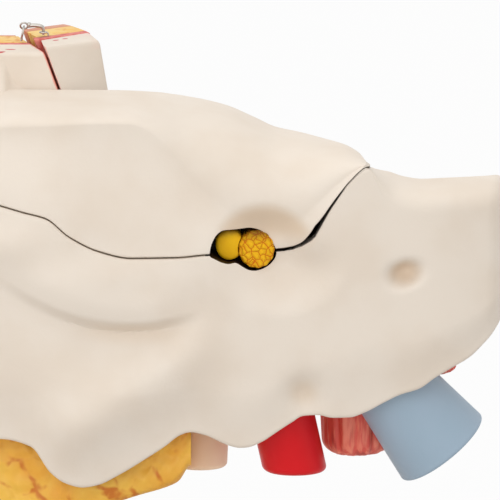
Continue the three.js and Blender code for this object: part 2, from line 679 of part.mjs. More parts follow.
function hearingNerveBody() {
  const { x, z, radiusX, radiusZ, end } = hearingNerve;
  const core = cochlea.y - cochleaCore.base - seatGap;
  const ring = (y, toCore, grow) => nerveRing(
    y, blend(x, cochlea.x, toCore), blend(z, cochlea.z, toCore), radiusX * grow, radiusZ * grow,
  );
  return loft([
    ring(end, 0, 0.5), ring(end + 0.6, 0, 0.84), ring(end + 2.2, 0, 1), ring(12, 0, 1),
    ring(recess.front + 2, 0.05, 0.96), ring(core, 1, 0.8),
  ]);
}

// The cochlea: a tapering tube that winds two and a half turns in towards its cupola and climbs
// a conical core, led in from the floor of the vestibule.
const cochleaCore = { base: 3.4, radius: 5.4 };

function cochleaBody() {
  const steps = 46;
  const lead = 5;
  const winding = (t) => {
    const turn = -Math.PI / 2 + t * cochlea.turns * 2 * Math.PI;
    const radius = blend(cochlea.radius, cochlea.tip * 0.9, t ** 0.9);
    return new THREE.Vector3(radius * Math.cos(turn), t * cochlea.rise, radius * Math.sin(turn));
  };
  const path = Array.from({ length: steps + 1 }, (_, i) => winding(i / steps));
  const door = new THREE.Vector3(vestibule.x - cochlea.x + vestibule.radius * 0.4, vestibule.y - cochlea.y,
    vestibule.z - cochlea.z - 3);
  const entry = new THREE.QuadraticBezierCurve3(
    door, new THREE.Vector3(-cochlea.radius, 0, -cochlea.radius), path[0],
  ).getPoints(lead).slice(0, -1);
  const line = [...entry, ...path];
  const sides = 8;
  const rings = line.map((middle, i) => {
    const t = Math.max(0, (i - lead) / steps);
    const radius = blend(cochlea.tube, cochlea.tip, t ** 0.75);
    const along = line[Math.min(i + 1, line.length - 1)].clone().sub(line[Math.max(i - 1, 0)]).normalize();
    const side = new THREE.Vector3(0, 1, 0).addScaledVector(along, -along.y).normalize();
    const up = new THREE.Vector3().crossVectors(along, side);
    return Array.from({ length: sides }, (_, j) => {
      const a = (j / sides) * 2 * Math.PI;
      const point = middle.clone().addScaledVector(side, radius * Math.cos(a));
      return point.addScaledVector(up, radius * Math.sin(a));
    });
  });
  const core = turned([[0, -cochleaCore.base], [cochleaCore.radius, -cochleaCore.base],
    [cochleaCore.radius * 0.8, 0], [cochlea.tip * 1.4, cochlea.rise * 0.8], [0, cochlea.rise]], 18)
    .rotateX(-Math.PI / 2);
  const gyres = loft(rings);
  return { gyres, core };
}

function cochleaGeometry() {
  const { gyres, core } = cochleaBody();
  const body = join(core, gyres).translate(cochlea.x, cochlea.y, cochlea.z);
  return cut(body, vestibuleBody(seatGap));
}

// A semicircular canal in the plane of two directions, with a swelling at its first foot.
function semicircularBody({ middle, u, v, from, to, radius }) {
  const normal = new THREE.Vector3().crossVectors(u, v);
  const steps = 18;
  const sides = 8;
  const rings = Array.from({ length: steps + 1 }, (_, i) => {
    const t = i / steps;
    const turn = THREE.MathUtils.degToRad(blend(from, to, t));
    const tubeRadius = semicircular.tube * (1 + 0.7 * Math.exp(-(((t - 0.12) / 0.08) ** 2)));
    const outward = u.clone().multiplyScalar(Math.cos(turn)).addScaledVector(v, Math.sin(turn));
    return Array.from({ length: sides }, (_, j) => {
      const a = (j / sides) * 2 * Math.PI;
      return middle.clone()
        .addScaledVector(outward, radius + tubeRadius * Math.cos(a))
        .addScaledVector(normal, tubeRadius * Math.sin(a));
    });
  });
  return cut(loft(rings), vestibuleBody(seatGap));
}

const axisX = new THREE.Vector3(1, 0, 0);
const axisY = new THREE.Vector3(0, 1, 0);
const axisZ = new THREE.Vector3(0, 0, 1);
const near = (x, y, z) => new THREE.Vector3(vestibule.x + x, vestibule.y + y, vestibule.z + z);
const semicircularCanals = [
  { name: "superior_canal", middle: near(4, 1, 12.2), u: axisX, v: axisZ, from: -78, to: 232,
    radius: semicircular.radius },
  { name: "posterior_canal", middle: near(-5.2, -7.6, 5), u: axisY, v: axisZ, from: 20, to: 300,
    radius: semicircular.radius - 0.8 },
  { name: "lateral_canal", middle: near(-0.8, 5.4, 0.5), u: axisX, v: axisY, from: -48, to: 228,
    radius: semicircular.radius - 1.8 },
];

// Eardrum and ossicles, in the anatomy frame.
function eardrumBody() {
  const { radius, thickness, cone } = drum;
  const back = [
    [0, -cone - thickness], [radius * 0.5, -cone * 0.75 - thickness], [radius - 1.2, -0.4 - thickness],
  ];
  const front = [
    [radius, -thickness], [radius, 0], [radius - 1.2, 0], [radius * 0.5, -cone * 0.75], [0, -cone],
  ];
  return turned([...back, ...front], 22)
    .rotateY(Math.PI / 2)
    .applyMatrix4(canalFrame);
}

const ball = (middle, radius) =>
  new THREE.SphereGeometry(radius, 8, 6).translate(middle.x, middle.y, middle.z);
const drumBack = -drum.cone - drum.thickness - seatGap;
const malleusHead = { t: drumBack - 2.3, h: 9.4, radius: 2.5 };
const incusHead = { t: malleusHead.t - 5.3, h: 9, radius: 2.4 };
const stapesPlate = {
  x: vestibule.x - vestibule.radius - seatGap, y: vestibule.y + 0.4, z: vestibule.z - 3.7,
  radius: 1.6, thickness: 0.7,
};
const stapesHead = new THREE.Vector3(stapesPlate.x - 6, stapesPlate.y + 3.4, stapesPlate.z);

function malleusBody() {
  const umbo = fromCanal(drumBack - 0.9, 0, -1.2);
  const neck = fromCanal(drumBack - 1.4, 0.8, 5);
  const head = fromCanal(malleusHead.t, 1, malleusHead.h);
  return join(bar([umbo, neck, head], (t) => 0.85 + 0.5 * t, 8, 8), ball(head, malleusHead.radius));
}

function incusBody() {
  const head = fromCanal(incusHead.t, 1, incusHead.h);
  const tip = stapesHead.clone().add(new THREE.Vector3(-1.9, 1.3, 0.4));
  const knee = head.clone().lerp(tip, 0.55).add(new THREE.Vector3(-1.6, 0.6, -0.6));
  const spur = head.clone().add(new THREE.Vector3(2.6, -3.4, 1.2));
  return join(
    bar([head, knee, tip], (t) => 1.4 - 0.75 * t, 8, 10),
    ball(head, incusHead.radius),
    bar([head, head.clone().lerp(spur, 0.5), spur], (t) => 1.5 - 0.8 * t, 8, 5),
  );
}

function stapesBody() {
  const { radius, thickness } = stapesPlate;
  const plate = new THREE.CylinderGeometry(radius, radius, thickness, 16)
    .rotateZ(Math.PI / 2)
    .translate(stapesPlate.x - stapesPlate.thickness / 2, stapesPlate.y, stapesPlate.z);
  const seatX = stapesPlate.x - stapesPlate.thickness / 2;
  const seat = (dz) => new THREE.Vector3(seatX, stapesPlate.y, stapesPlate.z + dz);
  const bow = (dz) => stapesHead.clone().lerp(seat(0), 0.45).add(new THREE.Vector3(0, 0, dz));
  const arch = bar([seat(-1.1), bow(-1.35), stapesHead.clone(), bow(1.35), seat(1.1)], () => 0.5, 6, 14);
  return join(plate, arch, ball(stapesHead, 0.95));
}

// Canal walls: half tubes that stay on the kept side of the section plane, in the canal's own frame.
const canalStart = 9;

function halfTube(inner, outer, from, to) {
  const shape = new THREE.Shape()
    .absarc(0, 0, outer, 0, Math.PI, false)
    .absarc(0, 0, inner, Math.PI, 0, true);
  return new THREE.ExtrudeGeometry(shape, { depth: to - from, bevelEnabled: false, curveSegments: 12 })
    .rotateY(-Math.PI / 2)
    .translate(to, 0, 0);
}

const liningOuter = canal.bore + canal.lining;

function canalFatBody() {
  const inner = toCanal(canal.fatEdge, bone.lateralDepth + 0.6);
  const far = 40;
  const turnIn = toCanal(-130, bone.lateralDepth + 0.6);
  const outline = [
    [15, 0.2], [canalLength, 0.2], [canalLength, far], [turnIn[0], far], [inner[0], inner[1]],
  ];
  return cut(prism(outline, undersideHeight, wallFoot - 1), tube(cartilageRadius + clearance, 0, 120));
}

function headPlateBody() {
  const { width, low, high, thickness } = headPlate;
  const corner = 14;
  const start = -16;
  const shape = new THREE.Shape()
    .moveTo(start, 0)
    .lineTo(start, high - corner)
    .quadraticCurveTo(start, high, start + corner, high)
    .lineTo(width - corner, high)
    .quadraticCurveTo(width, high, width, high - corner)
    .lineTo(width, low + corner)
    .quadraticCurveTo(width, low, width - corner, low)
    .lineTo(start + corner, low)
    .quadraticCurveTo(start, low, start, low + corner);
  const plate = new THREE.ExtrudeGeometry(shape, { depth: thickness, bevelEnabled: false, curveSegments: 4 })
    .rotateX(Math.PI / 2)
    .rotateZ(Math.PI / 2)
    .translate(canalLength + seatGap, 0, 0);
  return cut(plate, tube(auricle.hole, canalLength - 10, canalLength + 20));
}

// Auricle: a ring-shaped body round the canal's mouth. Across it from the mouth lie the bowl of the
// concha, the antihelix, the furrow of the scapha and the rolled rim of the helix; the lobule is plain.
const auricleOutline = new THREE.CatmullRomCurve3([
  [16, 70], [38, 64], [54, 46], [61, 20], [57, -8], [47, -32], [36, -54], [25, -74], [12, -89],
  [-2, -92], [-12, -84], [-15, -68], [-14, -50], [-18, -34], [-22, -22], [-24, -8], [-22, 6],
  [-21, 22], [-22, 42], [-16, 58], [-2, 69],
].map(([y, z]) => new THREE.Vector3(0, y, z)), true);

function auricleBody() {
  const sides = 40;
  const edge = auricleOutline.getSpacedPoints(sides).slice(0, sides);
  const seat = canalLength + headPlate.thickness + 2 * seatGap;
  const front = [0, 0.1, 0.24, 0.4, 0.52, 0.64, 0.76, 0.87, 0.95, 1];
  const back = [0.9, 0.7, 0.45, 0.2, 0];
  const ringAt = (u, heightAt) => edge.map((point) => {
    const turn = Math.atan2(point.z, point.y);
    const mouth = new THREE.Vector3(0, auricle.hole * Math.cos(turn), auricle.hole * Math.sin(turn));
    const spot = mouth.lerp(point, u);
    spot.x = seat + heightAt(u, point);
    return spot;
  });
  const lobe = (point) => ease(-46, -70, point.z);
  const frontHeight = (u, point) => {
    const bowl = auricle.bowl * ease(0.05, 0.5, u);
    const furrow = -4 * Math.exp(-(((u - 0.76) / 0.09) ** 2));
    const rim = auricle.rim * Math.exp(-(((u - 0.93) / 0.07) ** 2));
    const carved = 2.5 + bowl + furrow + rim;
    return blend(carved, 2.5 + auricle.bowl * ease(0.05, 0.4, u) - 2, lobe(point)) - 2.5 * ease(0.95, 1, u);
  };
  const backHeight = (u) => (auricle.bowl + 2.5 - auricle.thickness) * ease(0.35, 1, u);
  const rings = [...front.map((u) => ringAt(u, frontHeight)), ...back.map((u) => ringAt(u, backHeight))];
  return loft(rings, true);
}

// Stand.
function roundedPlate(length, width, corner, low, high, edge) {
  const shape = new THREE.Shape();
  const x = length / 2 - edge;
  const y = width / 2 - edge;
  const r = corner - edge;
  shape.absarc(x - r, y - r, r, 0, Math.PI / 2);
  shape.absarc(-x + r, y - r, r, Math.PI / 2, Math.PI);
  shape.absarc(-x + r, -y + r, r, Math.PI, Math.PI * 1.5);
  shape.absarc(x - r, -y + r, r, Math.PI * 1.5, Math.PI * 2);
  return new THREE.ExtrudeGeometry(shape, {
    depth: high - low - 2 * edge,
    bevelEnabled: edge > 0,
    bevelThickness: edge,
    bevelSize: edge,
    bevelSegments: 1,
    curveSegments: 3,
  }).translate(0, 0, low + edge);
}

const screwSpots = [-1, 1].map((side) => ({
  x: pedestal.x + side * (pedestal.length / 2 + pedestal.flange - 5.5),
  y: pedestal.y,
}));
const flangeLow = base.thickness + seatGap;
const flangeHigh = flangeLow + pedestal.flangeThickness;
const screwHole = ({ x, y }) => {
  const radius = screw.shank + clearance;
  return new THREE.CylinderGeometry(radius, radius, 16, 10)
    .rotateX(Math.PI / 2)
    .translate(x, y, flangeHigh - 6.4);
};

function basePlateBody() {
  const plate = roundedPlate(base.length, base.width, base.corner, 0, base.thickness, base.edge)
    .translate(-anatomyOrigin.x, -anatomyOrigin.y, 0);
  return cut(plate, ...screwSpots.map(screwHole));
}

function pedestalBody() {
  const { x, y, length, width, flange } = pedestal;
  const foot = roundedPlate(length + 2 * flange, width + flange, 8, flangeLow, flangeHigh, 1);
  const top = meatusHeight + fatFoot - seatGap;
  const section = (z, grow) =>
    roundedSection(length * grow, width * grow, 6).map(([px, py]) => new THREE.Vector3(px, py, z));
  const column = loft([
    section(flangeHigh - 2, 1), section(flangeHigh + 4, 0.86), section(top - 8, 0.86),
    section(top - 2, 1), section(top, 1),
  ]);
  return cut(join(foot, column).translate(x, y, 0), ...screwSpots.map(screwHole));
}

function roundedSection(length, width, corner) {
  const points = [];
  [[1, 1], [-1, 1], [-1, -1], [1, -1]].forEach(([sx, sy], quarter) => {
    for (let i = 0; i <= 2; i += 1) {
      const turn = (quarter + i / 2) * (Math.PI / 2);
      points.push([
        sx * (length / 2 - corner) + corner * Math.cos(turn),
        sy * (width / 2 - corner) + corner * Math.sin(turn),
      ]);
    }
  });
  return points;
}

function screwBody({ x, y }) {
  const { radius, height, shank } = screw;
  const head = [[radius, 0], [radius, height * 0.45], [radius * 0.6, height * 0.9], [0, height]];
  return turned([[0, -13.4], [shank, -13.4], [shank, 0], ...head], 10)
    .translate(x, y, flangeHigh + seatGap);
}

function pinBody({ x, y }) {
  const { radius, depth, stand } = pin;
  const tip = [[radius, stand - 0.8], [radius - 0.8, stand], [0, stand]];
  return turned([[0, -depth], [radius, -depth], ...tip], 10)
    .applyQuaternion(alongLift)
    .translate(x, y, seam(x));
}

// Latch: a hook linked into a screw eye on the left block drops into an eye on the right block.
const wire = 0.27;
const screwEye = { radius: 1.8, lean: 0.2, x: -67.9, y: 63.4 };
const catchEye = { radius: 1, x: -61.3, y: 63.4, height: 1.3 };
const hookRing = { radius: 1.1, tilt: 0.44 };
const torus = (radius, thickness) => new THREE.TorusGeometry(radius, thickness, 5, 12);
const eyeFoot = new THREE.Vector3(screwEye.x, screwEye.y, leftBlockTop + seatGap);
const eyeMiddle = eyeFoot.clone().add(new THREE.Vector3(0.55, 0, screwEye.radius + 0.9));
const pivot = eyeMiddle.clone().add(new THREE.Vector3(Math.sin(screwEye.lean), 0, Math.cos(screwEye.lean))
  .multiplyScalar(screwEye.radius));

function latchScrewEye() {
  const ring = torus(screwEye.radius, wire).rotateY(Math.PI / 2 + screwEye.lean)
    .translate(eyeMiddle.x, eyeMiddle.y, eyeMiddle.z);
  const low = eyeMiddle.clone().lerp(pivot, -1);
  return join(ring, bar([eyeFoot, eyeFoot.clone().lerp(low, 0.5), low], () => wire * 1.4, 8, 2));
}

function latchCatchEye() {
  const { radius, x, y, height } = catchEye;
  const ring = torus(radius, wire).translate(x, y, rightBlockTop + height);
  const out = new THREE.Vector3(x + radius, y, rightBlockTop + height);
  const stem = bar([out, new THREE.Vector3(out.x + 0.4, y, out.z - 0.3),
    new THREE.Vector3(out.x + 0.5, y, rightBlockTop + seatGap)], () => wire, 6, 5);
  return join(ring, stem);
}

function latchHookBody() {
  const middle = pivot.clone().add(new THREE.Vector3(0, 0, 0.1));
  const ring = torus(hookRing.radius, wire).rotateX(Math.PI / 2 - hookRing.tilt)
    .translate(middle.x, middle.y, middle.z);
  const start = middle.clone().add(new THREE.Vector3(hookRing.radius, 0, 0));
  const tip = new THREE.Vector3(catchEye.x, catchEye.y, rightBlockTop + 0.5);
  const over = tip.clone().add(new THREE.Vector3(-0.3, 0, 2.4));
  const shank = bar([start, start.clone().lerp(over, 0.5).add(new THREE.Vector3(0, 0, 0.3)), over,
    tip.clone().add(new THREE.Vector3(0.05, 0, 1.4)), tip], (t) => 0.4 - 0.1 * t, 6, 12);
  return join(ring, shank, ball(start.clone().add(new THREE.Vector3(0.4, 0, 0.4)), 0.7));
}

// Assembly.
const model = new THREE.Group();
const stand = new THREE.Group();
stand.position.set(anatomyOrigin.x, anatomyOrigin.y, 0);
const anatomy = new THREE.Group();
anatomy.position.copy(anatomyOrigin);
model.add(stand, anatomy);

stand.add(
  finish("base_plate", basePlateBody(), standWhite),
  finish("pedestal", pedestalBody(), standWhite),
  ...screwSpots.map((spot, i) => finish(`pedestal_screw_${i + 1}`, screwBody(spot), steel)),
);
anatomy.add(
  finish("lower_bone", lowerBone(), cream),
  ...rightStrips.map((strip) => {
    const body = rightLayer(strip, strip.start === 0 ? wallFoot : layerFoot);
    return finish(strip.name, body, strip.look);
  }),
  ...locatingPins.map((spot, i) => finish(`locating_pin_${i + 1}`, pinBody(spot), steel)),
  finish("parotid_fat", parotidFat(), fatYellow),
  finish("styloid_process", styloidBody(), styloidTan),
  finish("carotid_artery", carotidArtery(), arteryRed),
  finish("palate_muscle", palateMuscleBody(), muscleRed),
  finish("auditory_tube", auditoryTubeBody(), tubeBlue),
  finish("tube_muscle", tubeMuscleBody(), muscleRed),
  finish("latch_catch_eye", latchCatchEye(), steel),
);

const upperSection = new THREE.Group();
upperSection.add(
  finish("upper_bone", upperBone(), cream),
  ...leftLayers.map((layer) => finish(layer.name, leftLayer(layer), layer.look)),
  finish("latch_screw_eye", latchScrewEye(), steel),
  finish("latch_hook", latchHookBody(), steel),
);

const ossicles = new THREE.Group();
ossicles.add(
  finish("eardrum", eardrumBody(), { color: 0xe3cdb6, roughness: 0.4 }),
  finish("malleus", malleusBody(), ossicleWhite),
  finish("incus", incusBody(), ossicleWhite),
  finish("stapes", stapesBody(), ossicleWhite),
);

const labyrinth = new THREE.Group();
labyrinth.add(
  finish("vestibule", vestibuleBody(), labyrinthBlue),
  ...semicircularCanals.map((canalShape) => {
    return finish(canalShape.name, semicircularBody(canalShape), labyrinthBlue);
  }),
  finish("cochlea", cochleaGeometry(), labyrinthBlue),
  finish("vestibulocochlear_nerve", hearingNerveBody(), nerveYellow),
  finish("facial_nerve", facialNerveBody(), nerveYellow),
);

const canalGroup = new THREE.Group();
canalGroup.position.set(canal.x, canal.y, 0);
canalGroup.rotation.z = canal.angle;
canalGroup.add(
  finish("canal_lining", halfTube(canal.bore, liningOuter, canalStart, canalLength), skinTone),
  finish(
    "canal_cartilage",
    halfTube(liningOuter + seatGap, cartilageRadius, canalStart, canalLength),
    cartilageBlue,
  ),
  finish("canal_fat", canalFatBody(), fatYellow),
  finish("head_skin_plate", headPlateBody(), skinTone),
  finish("auricle", auricleBody(), skinTone),
);
anatomy.add(upperSection, ossicles, labyrinth, canalGroup);

export default model;
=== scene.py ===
"""Dissectible ear model, three times life size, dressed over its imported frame.

Sizes are millimetres in the anatomy frame: x is 0 at the internal meatus, y is 0 at the sculpted
inner face of the petrous bone and grows towards the display side, z is 0 under the base plate.
"""

import logging
import math
from dataclasses import dataclass, field
from enum import Enum
from typing import Callable, Iterable, Optional, Sequence, Union

import bmesh
import bpy
import numpy as np
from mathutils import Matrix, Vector

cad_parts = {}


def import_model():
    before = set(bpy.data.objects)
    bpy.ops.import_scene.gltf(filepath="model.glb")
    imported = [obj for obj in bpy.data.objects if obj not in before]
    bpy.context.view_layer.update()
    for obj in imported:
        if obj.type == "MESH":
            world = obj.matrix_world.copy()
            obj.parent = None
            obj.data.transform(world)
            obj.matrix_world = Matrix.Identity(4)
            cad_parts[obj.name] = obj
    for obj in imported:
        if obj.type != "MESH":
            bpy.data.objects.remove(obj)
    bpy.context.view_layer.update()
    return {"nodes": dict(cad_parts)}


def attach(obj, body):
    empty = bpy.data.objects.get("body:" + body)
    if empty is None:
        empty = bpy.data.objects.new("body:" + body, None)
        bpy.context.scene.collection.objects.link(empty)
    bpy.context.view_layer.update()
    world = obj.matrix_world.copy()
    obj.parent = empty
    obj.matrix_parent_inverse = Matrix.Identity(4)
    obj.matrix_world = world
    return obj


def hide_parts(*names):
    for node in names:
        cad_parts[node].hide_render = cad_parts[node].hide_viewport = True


LOG = logging.getLogger("ear_model")
METRE = 1000
MOTTLE, GRAIN, GRAIN_DEPTH = 45.0, 900.0, 0.00004
SHEEN, DULLNESS = 0.25, 0.5
ANATOMY_ORIGIN = np.array([60.0, -55.0, 0.0])
MEATUS_HEIGHT = 130.0
CLEARANCE = 0.3
LIFT = Vector((-0.342, 0.0, 0.9397))
UPWARD = Vector((0.0, 0.0, 1.0))
PIN_SPOTS = ((-92, 30), (-66, 20), (-24, 12))
SEAM_END = 35
ARCH_MIDDLE, ARCH_SIZE = (4.2, 129.0), (16.2, 15.2)
# Spots of painted warm shade in the sculpted hollows (teardrop dimple, small pit, crescent fold): middle,
# radii and strength.
HOLLOW_SHADE_SPOTS = (
    ((45.4, 122.4), (5.6, 4.6), 0.4), ((15.6, 86.6), (5.6, 5.6), 0.22), ((-36.0, 104.5), (20.0, 4.5), 0.15),
)

Array = np.ndarray
Piece = bpy.types.Object
Number = Union[int, float]
Pair = tuple[float, float]
Colour = tuple[float, float, float]
Place = tuple[float, float, float]
Profile = Callable[[Array], Array]


def to_linear(red: int, green: int, blue: int) -> Colour:
    """Turn a colour as it is seen on screen into the linear values that a shader takes.

    Args:
        red: Red from 0 to 255.
        green: Green from 0 to 255.
        blue: Blue from 0 to 255.

    Returns:
        The linear colour.
    """
    def channel(value: int) -> float:
        """Return one channel in linear light."""
        part = value / 255
        return part / 12.92 if part <= 0.04045 else ((part + 0.055) / 1.055) ** 2.4

    return channel(red), channel(green), channel(blue)


def profile(points: Sequence[Pair]) -> Profile:
    """Make a smooth curve through points with rising x, with no overshoot between them.

    Args:
        points: The points that the curve passes through.

    Returns:
        A function of an array of x values.
    """
    xs = np.array([p[0] for p in points], float)
    ys = np.array([p[1] for p in points], float)
    steps = np.diff(ys) / np.diff(xs)
    slope = np.zeros_like(xs)
    for i in range(1, len(xs) - 1):
        before, after = steps[i - 1], steps[i]
        slope[i] = 0 if before * after <= 0 else 2 * before * after / (before + after)

    def at(x: Array) -> Array:
        """Return the curve's height at each x.

        Args:
            x: The places.

        Returns:
            The heights.
        """
        x = np.clip(np.asarray(x, float), xs[0], xs[-1])
        i = np.clip(np.searchsorted(xs, x, side="right") - 1, 0, len(xs) - 2)
        width = xs[i + 1] - xs[i]
        t = (x - xs[i]) / width
        rise = ys[i + 1] - ys[i]
        bend = (slope[i] * (1 - t) - slope[i + 1] * t) * width + rise * (2 * t - 1)
        return ys[i] + rise * t + t * (1 - t) * bend

    return at


def ease(low: float, high: float, x: Array) -> Array:
    """Rise smoothly from 0 at low to 1 at high, or fall where high is below low."""
    t = np.clip((np.asarray(x, float) - low) / (high - low), 0, 1)
    return t * t * (3 - 2 * t)


def mix(a: Array, b: Array, t: Array) -> Array:
    """Return the point a share t of the way from a to b."""
    return a + (np.asarray(b) - a) * t


def smooth_line(points: Array, steps: int) -> Array:
    """Return evenly spaced points on a smooth curve through a few points.

    Args:
        points: The points that the curve passes through.
        steps: The number of equal lengths.

    Returns:
        An array of steps + 1 points.
    """
    gaps = np.sqrt(np.linalg.norm(np.diff(points, axis=0), axis=1))
    knots = np.concatenate([[0], np.cumsum(gaps)])
    slope = np.gradient(points, knots, axis=0)
    dense = []
    for i in range(len(points) - 1):
        t = np.linspace(0, 1, 60, endpoint=i == len(points) - 2)[:, None]
        width = knots[i + 1] - knots[i]
        dense.append(
            (2 * t**3 - 3 * t**2 + 1) * points[i] + (t**3 - 2 * t**2 + t) * width * slope[i]
            + (3 * t**2 - 2 * t**3) * points[i + 1] + (t**3 - t**2) * width * slope[i + 1]
        )
    line = np.concatenate(dense)
    length = np.concatenate([[0], np.cumsum(np.linalg.norm(np.diff(line, axis=0), axis=1))])
    even = np.linspace(0, length[-1], steps + 1)
    return np.stack([np.interp(even, length, line[:, axis]) for axis in range(3)], axis=1)


def rounded(outline: Sequence[Pair], radius: float, steps: int = 6) -> Array:
    """Round the corners of a flat outline.

    Args:
        outline: The corners in order.
        radius: How far from each corner its rounding starts.
        steps: The number of lengths in each rounding.

    Returns:
        The points of the rounded outline.
    """
    corners = np.array(outline, float)
    points = []
    for i, corner in enumerate(corners):
        before, after = corners[i - 1] - corner, corners[(i + 1) % len(corners)] - corner
        reach = min(radius, np.linalg.norm(before) * 0.45, np.linalg.norm(after) * 0.45)
        start = corner + before / np.linalg.norm(before) * reach
        end = corner + after / np.linalg.norm(after) * reach
        for t in np.linspace(0, 1, steps + 1):
            points.append((1 - t) ** 2 * start + 2 * t * (1 - t) * corner + t**2 * end)
    return np.array(points)


def dome(x: Array, z: Array, middle: Pair, size: Pair) -> Array:
    """Return a soft round bump of height 1 about a middle point."""
    return np.exp(-(((x - middle[0]) / size[0]) ** 2) - ((z - middle[1]) / size[1]) ** 2)


def spread(x: Array, z: Array, middle: Pair, size: Pair) -> Array:
    """Return the distance from a middle point, where size away is 1."""
    return np.hypot((x - middle[0]) / size[0], (z - middle[1]) / size[1])


def full_turn(count: int) -> Array:
    """Return evenly spaced angles once round."""
    return np.linspace(0, 2 * np.pi, count, endpoint=False)


def quarter_turn(count: int) -> Array:
    """Return evenly spaced angles from 0 to a right angle, both included."""
    return np.linspace(0, np.pi / 2, count)


def hoop(middle: Array, radius: float, across: Array, up: Array, count: int) -> Array:
    """Return a ring of points about a middle, in the plane of two directions."""
    angle = full_turn(count)[:, None]
    return middle + radius * (np.cos(angle) * across + np.sin(angle) * up)


def oval(y: float, middle: Pair, size: Pair, count: int, flutes: float = 0.0) -> Array:
    """Return an upright oval, fluted where a nerve's bundles show.

    Args:
        y: How deep it lies.
        middle: Its middle's x and z.
        size: Its radii along x and z.
        count: The number of points.
        flutes: The depth of the flutes, as a share of the radius.

    Returns:
        The points.
    """
    angle = full_turn(count)
    edge = 1 - flutes * (0.5 - 0.5 * np.cos(13 * angle))
    x = middle[0] + size[0] * edge * np.cos(angle)
    return np.stack([x, np.full(count, y), middle[1] + size[1] * edge * np.sin(angle)], axis=1)


def at_x(x: float, *runs: Sequence[Array]) -> Array:
    """Return one cross-section at x, from runs of rows of y and z."""
    flat = np.concatenate(runs)
    return np.column_stack([np.full(len(flat), x), flat])


def pairs(y: Array, z: Array) -> Array:
    """Return rows of y and z."""
    return np.stack([y, z], axis=1)


class Body(Enum):
    """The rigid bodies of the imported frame."""

    STAND = "stand"
    UPPER = "upper_section"
    LATCH = "latch"
    OSSICLES = "ossicle_set"
    LABYRINTH = "labyrinth"


class Socket:
    """One output of a shader node, with arithmetic that adds Math nodes.

    Args:
        kit: The material's node maker.
        output: The node socket that is wrapped.
    """

    def __init__(self, kit: "NodeKit", output: bpy.types.NodeSocket) -> None:
        """Keep the node maker and the socket."""
        self.kit = kit
        self.output = output

    def _math(self, operation: str, *values: "Value") -> "Socket":
        """Return the result of a Math node on the values."""
        return self.kit.node("ShaderNodeMath", {"operation": operation}, dict(enumerate(values)))

    def __add__(self, other: "Value") -> "Socket":
        """Return the sum."""
        return self._math("ADD", self, other)

    __radd__ = __add__

    def __mul__(self, other: "Value") -> "Socket":
        """Return the product."""
        return self._math("MULTIPLY", self, other)

    __rmul__ = __mul__

    def __sub__(self, other: "Value") -> "Socket":
        """Return the difference."""
        return self._math("SUBTRACT", self, other)

    def __rsub__(self, other: Number) -> "Socket":
        """Return a number less this value."""
        return self._math("SUBTRACT", other, self)

    def __abs__(self) -> "Socket":
        """Return the value without its sign."""
        return self._math("ABSOLUTE", self)

    def root(self) -> "Socket":
        """Return the square root."""
        return self._math("SQRT", self)

    def larger(self, other: "Value") -> "Socket":
        """Return the larger of two values."""
        return self._math("MAXIMUM", self, other)

    def between(self, low: float, high: float, shape: str = "SMOOTHSTEP") -> "Socket":
        """Return a rise from 0 at low to 1 at high, smooth or "LINEAR"."""
        limits = {"Value": self, "From Min": low, "From Max": high}
        return self.kit.node("ShaderNodeMapRange", {"interpolation_type": shape, "clamp": True}, limits)


Value = Union[Socket, Number]


class NodeKit:
    """Adds nodes to the tree of a world or a material, which starts empty.

    Args:
        owner: The world or material.
    """

    def __init__(self, owner: Union[bpy.types.World, bpy.types.Material]) -> None:
        """Empty the owner's tree.

        Args:
            owner: The world or material.
        """
        owner.use_nodes = True
        self.tree = owner.node_tree
        self.tree.nodes.clear()

    def node(
        self,
        kind: str,
        settings: Optional[dict[str, object]] = None,
        inputs: Optional[dict[Union[str, int], object]] = None,
        output: Union[str, int, None] = 0,
    ) -> Socket:
        """Add one node.

        Args:
            kind: The node's type.
            settings: Its settings.
            inputs: Values or sockets for its inputs.
            output: Which output is wanted, or None where the node has none.

        Returns:
            The wanted output.
        """
        made = self.tree.nodes.new(kind)
        for key, value in (settings or {}).items():
            setattr(made, key, value)
        for key, value in (inputs or {}).items():
            self.feed(made.inputs[key], value)
        return Socket(self, None if output is None else made.outputs[output])

    def feed(self, target: bpy.types.NodeSocket, value: object) -> None:
        """Link a socket to an input, or set its value.

        Args:
            target: The input.
            value: The socket, or a value for it.
        """
        if isinstance(value, Socket):
            self.tree.links.new(value.output, target)
        elif isinstance(value, tuple) and len(value) == 3 and target.type == "RGBA":
            target.default_value = (*value, 1)
        else:
            target.default_value = value

    def seen_white(self) -> Socket:
        """Return 1 for rays that should see the white background.

        Returns:
            The share of white.
        """
        rays = ("Camera", "Glossy", "Transmission")
        seen, glossy, through = (self.node("ShaderNodeLightPath", output=f"Is {ray} Ray") for ray in rays)
        return seen.larger(glossy).larger(through)


